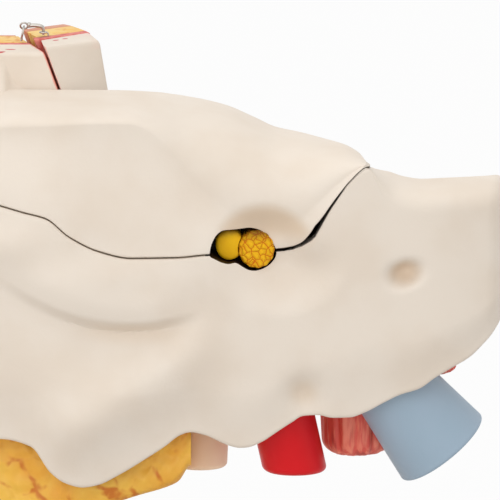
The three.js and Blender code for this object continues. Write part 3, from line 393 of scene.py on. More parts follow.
class PaintKit(NodeKit):
    """Builds one material's nodes.

    Args:
        name: The material's name.
    """

    def __init__(self, name: str) -> None:
        """Make an empty material with its shader and output.

        Args:
            name: The material's name.
        """
        self.material = bpy.data.materials.new(name)
        super().__init__(self.material)
        self.shader = self.tree.nodes.new("ShaderNodeBsdfPrincipled")
        self.result = self.tree.nodes.new("ShaderNodeOutputMaterial")
        self.tree.links.new(self.shader.outputs[0], self.result.inputs["Surface"])

    def set(self, name: str, value: object) -> None:
        """Set or link one of the main shader's inputs."""
        self.feed(self.shader.inputs[name], value)

    def place(self) -> Socket:
        """Return the point on the piece in metres, in the model's frame."""
        return self.node("ShaderNodeTexCoord", output="Object")

    def axis(self, which: str) -> Socket:
        """Return one coordinate of the point in millimetres."""
        return self.node("ShaderNodeSeparateXYZ", {}, {0: self.place()}, which) * float(METRE)

    def noise(self, scale: float, detail: float = 2.0, stretch: Place = (1, 1, 1)) -> Socket:
        """Return noise whose features repeat about scale times in a metre."""
        spot = self.node("ShaderNodeMapping", {}, {"Vector": self.place(), "Scale": stretch})
        return self.node("ShaderNodeTexNoise", {}, {"Vector": spot, "Scale": scale, "Detail": detail}, "Fac")

    def wandering(self, spot: Socket, scale: float, detail: float, reach: float) -> Socket:
        """Return a point that is moved about by noise.

        Args:
            spot: The point.
            scale: How often the noise repeats in a metre.
            detail: Its detail.
            reach: How far it moves the point, in metres.

        Returns:
            The moved point.
        """
        inputs = {"Vector": spot, "Scale": scale, "Detail": detail}
        drift = self.node("ShaderNodeTexNoise", {}, inputs, "Color")
        shift = self.node("ShaderNodeVectorMath", {"operation": "SCALE"}, {0: drift, "Scale": reach})
        return self.node("ShaderNodeVectorMath", {"operation": "ADD"}, {0: spot, 1: shift})

    def cell_edge(self, spot: Socket, scale: float) -> Socket:
        """Return the distance to the edge of irregular cells."""
        inputs = {"Vector": spot, "Scale": scale, "Randomness": 1.0}
        return self.node("ShaderNodeTexVoronoi", {"feature": "DISTANCE_TO_EDGE"}, inputs, "Distance")

    def blend(self, share: "Value", first: Union[Socket, Colour], second: Union[Socket, Colour]) -> Socket:
        """Return a colour between two colours."""
        return self.node("ShaderNodeMix", {"data_type": "RGBA"}, {0: share, 6: first, 7: second}, 2)

    def mottled(self, scale: float, first: Colour, second: Colour) -> Socket:
        """Return two colours in soft patches."""
        return self.blend(self.noise(scale, 3.0).between(0.35, 0.7), first, second)

    def matt(self, scale: float, roughness: float, grain: float, relief: float) -> None:
        """Give the shader a painted plastic's sheen and fine orange-peel surface.

        Args:
            scale: How often its sheen varies in a metre.
            roughness: How dull it is.
            grain: How often its surface repeats in a metre.
            relief: How deep that surface is, in metres.
        """
        self.set("Roughness", roughness + (self.noise(scale, 3.0) - 0.5) * 0.12)
        self.set("Specular IOR Level", SHEEN)
        self.raise_surface(self.noise(grain, 2.0), relief)

    def raise_surface(self, height: Socket, distance: float, strength: float = 1.0) -> None:
        """Give the shader's Normal a bump from a height in the range 0 to 1."""
        inputs = {"Height": height, "Distance": distance, "Strength": strength}
        self.set("Normal", self.node("ShaderNodeBump", {}, inputs, "Normal"))


@dataclass(frozen=True)
class Finish:
    """A surface's look, which makes one material."""

    name: str

    def material(self) -> bpy.types.Material:
        """Return the finished material.

        Returns:
            The material.
        """
        kit = PaintKit(self.name)
        self.cover(kit)
        return kit.material

    def cover(self, kit: PaintKit) -> None:
        """Set up the look's nodes."""
        raise NotImplementedError


@dataclass(frozen=True)
class Plastic(Finish):
    """Painted moulded plastic with a faint mottle and a fine orange-peel surface."""

    colour: Colour
    shade: Colour
    roughness: float = DULLNESS
    mottle: float = MOTTLE
    grain: float = GRAIN
    relief: float = GRAIN_DEPTH

    def cover(self, kit: PaintKit) -> None:
        """Set up the look's nodes."""
        kit.set("Base Color", kit.mottled(self.mottle, self.colour, self.shade))
        kit.matt(self.mottle, self.roughness, self.grain, self.relief)


@dataclass(frozen=True)
class BonePaint(Finish):
    """Cream bone with painted warm shade in its hollows and a very dark brownish painted shade inside the
    meatus and the open part of the seam.
    """

    colour: Colour
    shade: Colour
    # The third colour is the painted warm shade of the hollows; the fourth is the painted dark shade inside
    # the meatus and the open seam.
    hollow_shade_colour: Colour
    dark: Colour
    seam: tuple[Pair, ...]

    def _spot(self, x: Socket, z: Socket, middle: Pair, radii: Pair) -> Socket:
        """Return the distance from a spot's middle, 1 at its edge."""
        side, rise = (x - middle[0]) * (1 / radii[0]), (z - middle[1]) * (1 / radii[1])
        return (side * side + rise * rise).root()

    def paint(self, kit: PaintKit, x: Socket, y: Socket, z: Socket) -> Socket:
        """Return the painted colour, with painted warm shade in the hollows and painted dark shade inside the
        meatus and the open seam.

        Args:
            kit: The material's node maker.
            x: The place along the model, in mm.
            y: The place across it.
            z: The height.

        Returns:
            The colour.
        """
        cream = kit.mottled(MOTTLE, self.colour, self.shade)
        # Painted warm shade over the arch above the meatus and in the listed hollows, left off deeper than
        # the fundus.
        arch = self._spot(x, z, ARCH_MIDDLE, ARCH_SIZE)
        painted_shade_share = (1 - arch.between(0.75, 1.04)) * z.between(129.5, 136.5) * 0.5
        for middle, radii, share in HOLLOW_SHADE_SPOTS:
            painted_shade_share = painted_shade_share.larger((1 - self._spot(x, z, middle, radii).between(0.2, 1.0)) * share)
        cream = kit.blend(painted_shade_share * (1 - y.between(12.0, 14.0)), cream, self.hollow_shade_colour)
        # Painted dark shade in the open part of the seam, widest beside the meatus and fading out to the
        # right.
        level: Union[Socket, float] = self.seam[0][1]
        for (x0, z0), (x1, z1) in zip(self.seam, self.seam[1:]):
            level = x.between(x0, x1, "LINEAR") * (z1 - z0) + level
        near = 1 - self._spot(x, z, (19.1, 136.0), (5.6, 60.0)).between(0.0, 1.0, "LINEAR")
        inside = 1 - (abs(z - level) - near * near * 1.3).between(0.42, 0.7)
        inside = inside * x.between(2.0, 5.0) * (1 - x.between(24.5, 29.0) * 0.75)
        # Painted dark shade on the meatus walls and on the wall at the fundus.
        facing = kit.node("ShaderNodeNewGeometry", {}, {}, "True Normal")
        tilt = kit.node("ShaderNodeSeparateXYZ", {}, {"Vector": facing}, "Y")
        wall = 1 - abs(tilt).between(0.2, 0.3)
        opening = x.between(-13.4, -12.9) * (1 - x.between(9.6, 10.1))
        opening = opening * z.between(121.4, 121.9) * (1 - z.between(137.4, 137.9))
        inside = inside.larger(opening * wall.larger(y.between(12.5, 13.0)))
        return kit.blend(inside * (1 - y.between(17.0, 18.0)), cream, self.dark)

    def cover(self, kit: PaintKit) -> None:
        """Set up the look's nodes.

        Args:
            kit: The material's node maker.
        """
        x, y, z = (kit.axis(name) - float(shift) for name, shift in zip("XYZ", ANATOMY_ORIGIN))
        kit.set("Base Color", self.paint(kit, x, y, z))
        kit.matt(MOTTLE, DULLNESS, GRAIN, GRAIN_DEPTH)


@dataclass(frozen=True)
class WallBone(BonePaint):
    """The bones' paint with small red marrow marks on the blocks' tops and red along the cut between them."""

    marrow: Colour
    blush: Colour
    cut: Colour
    deep: Colour
    marks: tuple[tuple[float, float, float, float, float], ...]

    def _marks(self, kit: PaintKit, x: Socket, y: Socket, z: Socket) -> Socket:
        """Return 1 inside the painted marks: each has its middle, half length, half width and slope.

        Args:
            kit: The material's node maker.
            x: The place along the model, in mm.
            y: The place across it.
            z: The height.

        Returns:
            The share of paint.
        """
        found = kit.node("ShaderNodeValue") * 0.0
        for across, back, length, width, slope in self.marks:
            side = (x - across) * (1 / length)
            rise = (y - back - (x - across) * slope) * (1 / width)
            found = found.larger(1 - (side * side + rise * rise).between(0.55, 1.25))
        return found * z.between(179.2, 180.2)

    def paint(self, kit: PaintKit, x: Socket, y: Socket, z: Socket) -> Socket:
        """Return the painted colour, as for the plain bone but with the red paint added.

        Args:
            kit: The material's node maker.
            x: The place along the model, in mm.
            y: The place across it.
            z: The height.

        Returns:
            The colour.
        """
        rub = kit.noise(70.0, 2.0).between(0.5, 0.72) * z.between(179.6, 180.9) * 0.55
        painted = kit.blend(rub, super().paint(kit, x, y, z), self.blush)
        marks = self._marks(kit, x, y, z) * (0.6 + kit.noise(GRAIN) * 0.7).between(0.0, 1.0)
        painted = kit.blend(marks, painted, self.marrow)
        lean = (z - 165.0).larger(0.0) * 0.365
        away = abs(x + 54.7 + lean + (y - 45.0) * 0.28)
        near = z.between(168.0, 169.6) * y.between(43.4, 44.6)
        ragged = away + (kit.noise(260.0, 2.0) - 0.5) * 0.9
        painted = kit.blend((1 - ragged.between(0.5, 1.1)) * near * 0.75, painted, self.cut)
        wall = kit.blend(y.between(48.5, 51.5) * z.between(178.0, 180.5), self.deep, self.marrow)
        return kit.blend((1 - away.between(0.36, 0.5)) * near, painted, wall)


@dataclass(frozen=True)
class Fatty(Finish):
    """Yellow fat, painted with short orange strokes between its lobules."""

    light: Colour
    deep: Colour
    stroke: Colour
    scale: float = 110.0
    relief: float = 0.0007

    def cover(self, kit: PaintKit) -> None:
        """Set up the look's nodes.

        Args:
            kit: The material's node maker.
        """
        edge = kit.cell_edge(kit.wandering(kit.place(), self.scale * 0.6, 2.0, 0.012), self.scale)
        broken = kit.noise(self.scale * 1.4, 2.0)
        strokes = (1 - edge.between(0.02, 0.13)) * broken.between(0.46, 0.6)
        broad = kit.noise(self.scale * 0.5, 3.0)
        base = kit.blend(broad.between(0.4, 0.66), self.light, self.deep)
        kit.set("Base Color", kit.blend(strokes, base, self.stroke))
        kit.set("Roughness", 0.42 + broken * 0.2)
        kit.raise_surface(edge.between(0.0, 0.35) + broken * 0.5, self.relief, 0.7)


@dataclass(frozen=True)
class Striated(Finish):
    """Red muscle with long pale and dark fibres along one axis."""

    colour: Colour
    pale: Colour
    dark: Colour
    stretch: Place = (1.0, 1.0, 0.18)

    def cover(self, kit: PaintKit) -> None:
        """Set up the look's nodes.

        Args:
            kit: The material's node maker.
        """
        fibre = kit.noise(520.0, 3.0, self.stretch)
        vein = kit.noise(300.0, 2.0, self.stretch)
        flesh = kit.blend(fibre.between(0.42, 0.64), self.colour, self.pale)
        kit.set("Base Color", kit.blend(vein.between(0.56, 0.72) * 0.7, flesh, self.dark))
        kit.set("Roughness", 0.42 + fibre * 0.2)
        kit.raise_surface(fibre, 0.0003, 0.8)


@dataclass(frozen=True)
class Nerve(Finish):
    """Yellow nerve with a painted shadow darkening the top of its end; the hearing nerve's end shows a net of
    orange-red lines between its bundles.
    """

    colour: Colour
    shade: Colour
    line: Colour
    net: bool = False
    # Colour of the painted shadow on the upper part of the nerve's end, and the height where that shadow is
    # full.
    top_shadow: Colour = to_linear(92, 48, 22)
    top_shadow_height: float = 135.4
    share: float = 0.85
    gloss: float = 0.12

    def cover(self, kit: PaintKit) -> None:
        """Set up the look's nodes.

        Args:
            kit: The material's node maker.
        """
        broad = kit.noise(150.0, 2.0)
        base = kit.blend(broad.between(0.4, 0.7), self.colour, self.shade)
        if self.net:
            spot = kit.node("ShaderNodeMapping", {}, {"Vector": kit.place(), "Scale": (1.0, 0.25, 1.0)})
            edge = kit.cell_edge(kit.wandering(spot, 420.0, 1.0, 0.0014), 540.0)
            base = kit.blend((1 - edge.between(0.015, 0.1)) * self.share, base, self.line)
            kit.raise_surface(edge.between(0.0, 0.3), 0.0004, 0.8)
        else:
            kit.raise_surface(kit.noise(700.0, 2.0), GRAIN_DEPTH)
        # Painted shadow: the end darkens towards the top, from about z 131 on the hearing nerve and z 132 on
        # the facial nerve, as under the meatus's upper edge.
        height = kit.axis("Z") + (kit.noise(350.0, 2.0) - 0.5) * 2.0
        low = 131.0 if self.net else 132.0
        base = kit.blend(height.between(low, self.top_shadow_height) * self.share, base, self.top_shadow)
        kit.set("Base Color", base)
        kit.set("Roughness", DULLNESS + broad * 0.12)
        kit.set("Specular IOR Level", self.gloss)


@dataclass(frozen=True)
class Metal(Finish):
    """Bright wire or turned steel with fine drawn lines."""

    colour: Colour
    roughness: float = 0.28

    def cover(self, kit: PaintKit) -> None:
        """Set up the look's nodes.

        Args:
            kit: The material's node maker.
        """
        streak = kit.noise(2500.0, 2.0, (1.0, 1.0, 0.2))
        kit.set("Base Color", kit.blend(streak, self.colour, tuple(c * 0.75 for c in self.colour)))
        kit.set("Metallic", 1.0)
        kit.set("Roughness", self.roughness + streak * 0.15)
        kit.raise_surface(streak, 0.00001)


@dataclass(frozen=True)
class Passage:
    """Where a nerve leaves the meatus: middle x and z, the nerve's radii and those of its hole."""

    middle: Pair
    nerve: Pair
    hole: Pair


FACIAL_PASSAGE = Passage((-6.1, 130.6), (4.0, 4.7), (4.1, 4.8))
HEARING_PASSAGE = Passage((1.9, 129.2), (5.4, 5.7), (5.5, 5.8))
SEAM: Sequence[Pair] = (
    (-105, 151), (-79.4, 144), (-67, 140.7), (-60, 139), (-53.2, 133.7), (-44.4, 129.4), (-35, 127.5),
    (-22, 127.6), (-12, 128.4), (8, 128.8), (12, 129.5), (14.1, 130.4), (16.2, 131.9), (19.1, 135.3),
    (21.3, 138.7), (24, 143.0), (26.5, 146.6), (29.3, 150.2), (35, 154.7),
)
# Cream, its mottle, the painted warm shade of the hollows and the painted dark shade of the meatus and the
# open seam.
BONE_AND_PAINTED_SHADE_TONES = (
    to_linear(231, 220, 207), to_linear(226, 213, 198), to_linear(214, 184, 148), to_linear(34, 18, 12),
)
# Where the seam stands open, the stretch that gets the painted dark shade.
OPEN_SEAM = tuple((float(x), float(profile(SEAM)(x))) for x in np.linspace(2, 34, 13))
BONE = BonePaint("bone_paint", *BONE_AND_PAINTED_SHADE_TONES, OPEN_SEAM)
WALL_BONE = WallBone(
    "wall_bone", *BONE_AND_PAINTED_SHADE_TONES, OPEN_SEAM, to_linear(190, 52, 62), to_linear(238, 200, 190),
    to_linear(232, 146, 130), to_linear(214, 104, 80), (
        (-70.9, 50.6, 1.7, 0.75, -0.1), (-73.6, 46.4, 1.4, 0.8, 0.25), (-57.5, 57.2, 1.0, 0.8, 0.5),
        (-54.8, 59.8, 0.9, 0.7, 0.4), (-79.5, 54.6, 1.5, 0.7, 0.1), (-86.0, 49.4, 1.8, 0.7, -0.1),
        (-93.0, 53.8, 1.3, 0.8, 0.2), (-99.0, 48.6, 1.5, 0.7, 0.0),
    ),
)
SKIN = Plastic("skin_plastic", to_linear(214, 150, 122), to_linear(204, 136, 108), 0.5, 60.0, 1300.0, 0.00012)
FAT = Fatty("fat_tissue", to_linear(242, 190, 74), to_linear(236, 168, 52), to_linear(206, 116, 24))
LAYER_FAT = Fatty(
    "layer_fat", to_linear(240, 204, 120), to_linear(236, 186, 88), to_linear(222, 150, 62), 160.0, 0.0004,
)
MUSCLE = Striated("muscle_tissue", to_linear(224, 88, 74), to_linear(244, 138, 114), to_linear(172, 52, 46))
LAYER_MUSCLE = Striated(
    "layer_muscle", to_linear(212, 92, 84), to_linear(228, 134, 122), to_linear(190, 56, 54), (1.0, 1.0, 1.0),
)
FACIAL = Nerve(
    "facial_nerve_paint", to_linear(240, 188, 26), to_linear(235, 176, 22), to_linear(206, 112, 20),
)
HEARING = Nerve(
    "hearing_nerve_paint", to_linear(242, 184, 28), to_linear(238, 170, 24), to_linear(200, 92, 12), True,
)
ARTERY = Plastic("artery_plastic", to_linear(220, 16, 26), to_linear(212, 12, 22), 0.38, 40.0, 700.0, 0.00003)
TUBE_BLUE = Plastic(
    "tube_plastic", to_linear(163, 181, 199), to_linear(156, 177, 194), 0.45, 30.0, 900.0, 0.00003,
)
CARTILAGE = Plastic("cartilage_plastic", to_linear(186, 200, 205), to_linear(176, 192, 198))
STYLOID = Plastic("styloid_plastic", to_linear(250, 221, 192), to_linear(242, 208, 176))
INNER_EAR = Plastic("labyrinth_plastic", to_linear(140, 178, 205), to_linear(128, 168, 196), 0.38)
OSSICLE = Plastic("ossicle_plastic", to_linear(240, 232, 212), to_linear(230, 218, 192), 0.4)
DRUM = Plastic("eardrum_plastic", to_linear(228, 200, 178), to_linear(216, 180, 154), 0.35)
STAND = Plastic("stand_plastic", to_linear(233, 232, 228), to_linear(226, 225, 220), 0.42)
STEEL = Metal("latch_steel", to_linear(205, 200, 192))


@dataclass
class Workshop:
    """Turns millimetre forms into objects that ride on the frame, and keeps the finishes."""

    nodes: dict[str, Piece]
    materials: dict[str, bpy.types.Material] = field(default_factory=dict)

    def finish(self, look: Finish) -> bpy.types.Material:
        """Return the material of a finish, made once.

        Args:
            look: The finish.

        Returns:
            Its material.
        """
        if look.name not in self.materials:
            self.materials[look.name] = look.material()
        return self.materials[look.name]

    def raw(self, name: str, points: Array, faces: Sequence[Sequence[int]]) -> Piece:
        """Make an object from millimetre points in the anatomy frame.

        Args:
            name: The object's name.
            points: An array of points, three columns.
            faces: Corner indices of each face.

        Returns:
            The new object, its faces turned out.
        """
        placed = (np.asarray(points, float) + ANATOMY_ORIGIN) / METRE
        mesh = bpy.data.meshes.new(name)
        mesh.from_pydata(placed.tolist(), [], [list(map(int, face)) for face in faces])
        work = bmesh.new()
        work.from_mesh(mesh)
        bmesh.ops.remove_doubles(work, verts=work.verts, dist=1e-6)
        bmesh.ops.recalc_face_normals(work, faces=work.faces)
        if work.calc_volume(signed=True) < 0:
            bmesh.ops.reverse_faces(work, faces=work.faces)
        work.to_mesh(mesh)
        work.free()
        made = bpy.data.objects.new(name, mesh)
        bpy.context.scene.collection.objects.link(made)
        return made

    def loft(self, name: str, rings: Sequence[Array], closed: bool = False) -> Piece:
        """Make a body through rings of equal count, capped at both ends or closed on itself.

        Args:
            name: The object's name.
            rings: An array of rings by points by three.
            closed: Whether the last ring joins the first.

        Returns:
            The new object.
        """
        rings = np.asarray(rings, float)
        count = rings.shape[1]
        faces: list[list[int]] = []
        spans = len(rings) if closed else len(rings) - 1
        for i in range(spans):
            j = np.arange(count)
            k = (j + 1) % count
            after = (i + 1) % len(rings)
            block = np.stack([i * count + j, i * count + k, after * count + k, after * count + j], axis=1)
            faces.extend(block.tolist())
        if not closed:
            faces.append(list(range(count)))
            faces.append(list(range((len(rings) - 1) * count, len(rings) * count)))
        return self.raw(name, rings.reshape(-1, 3), faces)

    def turned(
        self, name: str, points: Sequence[Pair], foot: Vector, head: Vector, sides: int = 64
    ) -> Piece:
        """Make a turned body about the line from foot to head.

        Args:
            name: The object's name.
            points: Radius and height above the foot, from end to end.
            foot: Where height is 0.
            head: A point that the axis passes through.
            sides: The number of sides.

        Returns:
            The new object.
        """
        turn = Vector((0, 0, 1)).rotation_difference((head - foot).normalized()).to_matrix()
        matrix = np.array(turn)
        angle = full_turn(sides)
        rings = []
        for radius, height in points:
            ring = np.stack([radius * np.cos(angle), radius * np.sin(angle), np.full(sides, height)], axis=1)
            rings.append(ring @ matrix.T + np.array(foot))
        return self.loft(name, rings)

    def bar(
        self, name: str, points: Sequence[Sequence[float]], radius: Callable[[float], float],
        sides: int = 24, steps: int = 80,
    ) -> Piece:
        """Make a round bar along a smooth curve through points.

        Args:
            name: The object's name.
            points: The points that the curve passes through.
            radius: The bar's radius at a share of its length.
            sides: The number of sides.
            steps: The number of lengths.

        Returns:
            The new object.
        """
        line = smooth_line(np.array(points, float), steps)
        along = np.gradient(line, axis=0)
        along /= np.linalg.norm(along, axis=1)[:, None]
        side = np.cross(along[0], [0.3, 0.2, 0.93])
        rings = []
        for i, (middle, forward) in enumerate(zip(line, along)):
            side = side - forward * np.dot(side, forward)
            side /= np.linalg.norm(side)
            up = np.cross(forward, side)
            rings.append(hoop(middle, radius(i / (len(line) - 1)), side, up, sides))
        return self.loft(name, rings)

    def ball(self, name: str, middle: Sequence[float], radius: float, stretch: Place = (1, 1, 1)) -> Piece:
        """Make a ball, or an egg where stretch differs by axis.

        Args:
            name: The object's name.
            middle: Its middle.
            radius: Its radius.
            stretch: How much longer it is along each axis.

        Returns:
            The new object.
        """
        angle = full_turn(48)
        rings = []
        for tilt in np.linspace(0.02, np.pi - 0.02, 28):
            out, down = np.sin(tilt), np.full(48, -np.cos(tilt))
            ring = np.stack([out * np.cos(angle), out * np.sin(angle), down], axis=1)
            rings.append(ring * radius * np.array(stretch) + np.array(middle, float))
        return self.loft(name, rings)

    def prism(self, name: str, outline: Sequence[Pair], low: float, high: float) -> Piece:
        """Make an upright prism over a plan outline."""
        rings = [[(x, y, z) for x, y in outline] for z in (low, high)]
        return self.loft(name, rings)

    def carved(self, piece: Piece, tools: Iterable[Piece], operation: str = "DIFFERENCE") -> Piece:
        """Cut tools from a piece, or join them to it, and remove the tools.

        Args:
            piece: The object that is changed.
            tools: The objects that are used up.
            operation: Blender's name of the boolean.

        Returns:
            The piece.
        """
        tools = list(tools)
        for tool in tools:
            cut = piece.modifiers.new("cut", "BOOLEAN")
            cut.object = tool
            cut.operation = operation
            cut.solver = "MANIFOLD"
        self.apply(piece)
        for tool in tools:
            bpy.data.objects.remove(tool)
        return piece

    def apply(self, piece: Piece) -> None:
        """Turn a piece's modifiers into its mesh.

        Args:
            piece: The object.
        """
        graph = bpy.context.evaluated_depsgraph_get()
        fresh = bpy.data.meshes.new_from_object(piece.evaluated_get(graph))
        piece.modifiers.clear()
        old = piece.data
        piece.data = fresh
        bpy.data.meshes.remove(old)

    def softened(self, name: str, node: str, voxel: float = 0.5, passes: int = 6) -> Piece:
        """Make a smooth piece of the same form as a frame node.

        Args:
            name: The new object's name.
            node: The frame node.
            voxel: The size of the surface's steps in millimetres.
            passes: How often the surface is smoothed.

        Returns:
            The new object.
        """
        made = bpy.data.objects.new(name, self.nodes[node].data.copy())
        made.data.materials.clear()
        bpy.context.scene.collection.objects.link(made)
        weld = made.modifiers.new("weld", "WELD")
        weld.merge_threshold = 1e-6
        grid = made.modifiers.new("grid", "REMESH")
        grid.mode = "VOXEL"
        grid.voxel_size = voxel / METRE
        soft = made.modifiers.new("soft", "SMOOTH")
        soft.factor = 0.5
        soft.iterations = passes
        self.apply(made)
        return made

    def dress(
        self, piece: Piece, look: Finish, body: Body, slot: str, nodes: Sequence[str] = (),
        sharp: float = 38.0,
    ) -> Piece:
        """Shade, paint and seat a piece on its body.

        Args:
            piece: The object.
            look: Its finish.
            body: The frame body that it rides on.
            slot: The record's material slot; not used.
            nodes: The frame nodes that it stands for.
            sharp: Edges that bend by more than this many degrees stay crisp.

        Returns:
            The piece.
        """
        piece.data.materials.clear()
        piece.data.materials.append(self.finish(look))
        piece.data.polygons.foreach_set("material_index", [0] * len(piece.data.polygons))
        piece.data.shade_smooth()
        piece.data.set_sharp_from_angle(angle=math.radians(sharp))
        if nodes:
            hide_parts(*nodes)
        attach(piece, body.value)
        LOG.info("%s: %d faces on %s", piece.name, len(piece.data.polygons), body.value)
        return piece


@dataclass
class CanalLine:
    """The ear canal's own directions: t runs out along it, s towards the sculpted face, h up."""

    x: float = -50.0
    y: float = 60.0
    angle: float = math.pi - 0.607
    radius: float = 12.0

    def place(self, points: Sequence[object]) -> Array:
        """Return anatomy points for rows of t, s and h.

        Args:
            points: The rows.

        Returns:
            The points.
        """
        t, s, h = np.moveaxis(np.asarray(points, float), -1, 0)
        cos, sin = math.cos(self.angle), math.sin(self.angle)
        return np.stack([self.x + cos * t - sin * s, self.y + sin * t + cos * s, MEATUS_HEIGHT + h], axis=-1)

    def rod(self, shop: "Workshop", name: str, radius: float, ends: Pair, sides: int) -> Piece:
        """Make a round rod along the canal, between two places on it."""
        turn = [(radius * math.cos(a), radius * math.sin(a)) for a in full_turn(sides)]
        return shop.loft(name, self.place([at_x(t, turn) for t in ends]))

    def block(self, shop: "Workshop", name: str, corners: Sequence[Pair], levels: Pair) -> Piece:
        """Make a block over corners of t and s, between two heights."""
        return shop.loft(name, self.place([[(t, s, h) for t, s in corners] for h in levels]))

    def vector(self, t: float, s: float, h: float) -> Vector:
        """Return one anatomy point."""
        return Vector(self.place(np.array([t, s, h])))


@dataclass
class BoneForm:
    """The curves and relief that the two bones share."""

    left: float = -105.0
    apex: float = 82.0
    depth: float = 50.0
    lateral_depth: float = 62.0
    lip_front: float = 3.0
    lip_thickness: float = 6.5
    underside: float = 84.0
    wall_front: float = 45.0
    wall_bone: float = 14.0
    left_top: float = 181.0
    wall_foot: float = 144.0
    canal: CanalLine = field(default_factory=CanalLine)
    split_x: float = -54.7
    lean: float = 0.365
    lean_foot: float = 165.0
    slant: float = 0.28
    gap: float = 0.6
    roof_drop: float = 11.0
    seam_gap: float = 0.35
    dish_depth: float = 7.5
    arch_depth: float = 5.2
    fold_depth: float = 5.2
    fold_edge: float = 2.6
    ridge_height: float = 4.6
    ridge_width: float = 9.0
    teardrop_depth: float = 6.0
    pit_depth: float = 3.2
    seam: Profile = profile(SEAM)
    open_seam: Profile = profile([
        (-105, 0.5), (8, 0.55), (12, 0.9), (14.1, 1.05), (16.2, 1.5), (17.6, 2.4), (19.1, 3.2), (20.6, 2.3),
        (22, 1.7), (24, 1.2), (26.5, 0.55), (29, 0.3), (36, 0.24),
    ])
    upper_top: Profile = profile([
        (-105, 170.6), (-41, 170.4), (-27, 169.8), (-20, 168.6), (-13, 167.3), (-6, 165.4), (1, 162.4),
        (8, 159.8), (15, 159), (22.4, 157.9), (28, 157.3), (30.3, 156.7), (32.5, 155.9), (34, 155.2),
        (35, 154.2), (36, 153),
    ])
    upper_crest: Profile = profile([
        (-105, 162.4), (-73, 164.3), (-41, 166.3), (-27, 165.6), (-15, 162), (36, 158),
    ])
    ridge: Profile = profile([
        (-105, 42), (-10, 41), (8, 37), (16, 33), (23, 28), (28, 22), (31, 17), (33, 12), (34.2, 8),
        (35, 4.5), (36, 2),
    ])
    lower_top: Profile = profile([
        (35, 154.4), (37.5, 152.8), (40, 151), (43.5, 149), (47, 148.1), (51, 147.6), (58, 147.7),
        (72, 147.6), (82, 141),
    ])
    lower_lip: Profile = profile([
        (-105, 72), (-73, 71.8), (-64.7, 70), (-58.8, 62.3), (-54.4, 59.2), (-49.4, 58), (-45, 58.7),
        (-38.2, 62), (-30.9, 66.5), (-25, 70.4), (-20.6, 73.7), (-17.6, 74.6), (-13.2, 73.7), (-6.5, 70.7),
        (-3, 69.9), (-1, 70.0), (3.5, 71.7), (7.4, 74.3), (12.4, 77.6), (15.6, 79.4), (20, 79.7),
        (24.4, 78.9), (29.4, 79), (33.8, 80.4), (39.7, 83.4), (44.1, 85.5), (50, 87.3), (54.4, 90.3),
        (60.3, 93.6), (64.7, 96), (68.5, 99.4), (72.1, 103.4), (77, 113), (82, 132),
    ])
    back: Profile = profile([(-105, 62), (-64, 62), (-46, 58), (-34, 50), (62, 50), (74, 42), (82, 31)])
    front: Profile = profile([(-105, 8), (-75, 4), (-50, 0), (20, 0), (50, 2), (70, 8), (82, 20)])
    block_rise: Profile = profile([
        (-105, 11.5), (-78, 11.5), (-73, 10.8), (-70.7, 5.6), (-66.5, 1.8), (-62.5, 0.5), (-54, 0.4),
    ])

    def seam_opening(self, x: Array, y: Array = 0.0) -> Array:
        """Return how far the seam stands open, widest at the face beside the meatus."""
        return self.seam_gap + (self.open_seam(x) - self.seam_gap) * (1 - ease(4, 13, y))

    def fall(self, x: Array, y: Array) -> Array:
        """Return how much lower the seam lies at y than at the face, where the roof falls away behind."""
        return self.roof_drop * ease(5, 36, x) * (np.clip(y, 0, 50) / 50) ** 1.3

    def split_at(self, z: float, y: float) -> float:
        """Return where the cut between the wall blocks is: it runs left going up and going back."""
        return self.split_x - self.lean * max(z - self.lean_foot, 0) - self.slant * (y - self.wall_front)

    def right_of_split(self, shop: "Workshop", name: str, front: float, back: float, right: float) -> Piece:
        """Make the space to the right of the cut between the blocks.

        Args:
            shop: What makes the object.
            name: The object's name.
            front: The depth where it starts.
            back: The depth where it ends.
            right: Its right side.

        Returns:
            The new object.
        """
        rings = []
        for z in (100.0, self.lean_foot, 200.0):
            near, far = (self.split_at(z, y) - self.gap / 2 for y in (front, back))
            rings.append([(near, front, z), (right, front, z), (right, back, z), (far, back, z)])
        return shop.loft(name, rings)

    def bowl(self, x: Array, z: Array) -> Array:
        """Return the depth of the bowl round the meatus: a steep arch above and a wide dish below.

        Args:
            x: Places along the bone.
            z: Heights on it.

        Returns:
            The depth there.
        """
        lower = 1 - ease(0.0, 1.06, spread(x, z, (8.6, 127), (20.0, 16.8)))
        upper = 1 - ease(0.3, 1.04, spread(x, z, ARCH_MIDDLE, ARCH_SIZE))
        return mix(self.dish_depth * lower, self.arch_depth * upper, ease(-0.35, 0.35, (z - 128) / 16))

    def fold(self, x: Array, z: Array) -> Array:
        """Return the depth of the crescent fold: a step in below a hanging edge that fades out downward.

        Args:
            x: Places along the bone.
            z: Heights on it.

        Returns:
            The depth there.
        """
        rise = z - (107.8 + 11 * ((x + 36) / 34) ** 2)
        window = ease(-84, -42, x) * (1 - ease(-30, -12, x))
        below = (1 - ease(-3.4, 1.2, rise)) * np.clip(1 + (rise + 3) / 18, 0, 1) ** 1.3
        above = np.exp(-(((rise - 5) / 6.5) ** 2))
        return window * (self.fold_depth * below - self.fold_edge * above)

    def slanting_ridge(self, x: Array, z: Array) -> Array:
        """Return how far the slanting ridge over the lip stands forward.

        Args:
            x: Places along the bone.
            z: Heights on it.

        Returns:
            How far it stands forward there.
        """
        start, end = np.array([-18.5, 100.0]), np.array([-51.0, 77.0])
        length = np.linalg.norm(end - start)
        along = (end - start) / length
        dx, dz = x - start[0], z - start[1]
        t = dx * along[0] + dz * along[1]
        across = -dx * along[1] + dz * along[0]
        reach = ease(-16, 6, t) * (1 - ease(length - 4, length + 20, t))
        return self.ridge_height * reach * np.exp(-((across / self.ridge_width) ** 2))

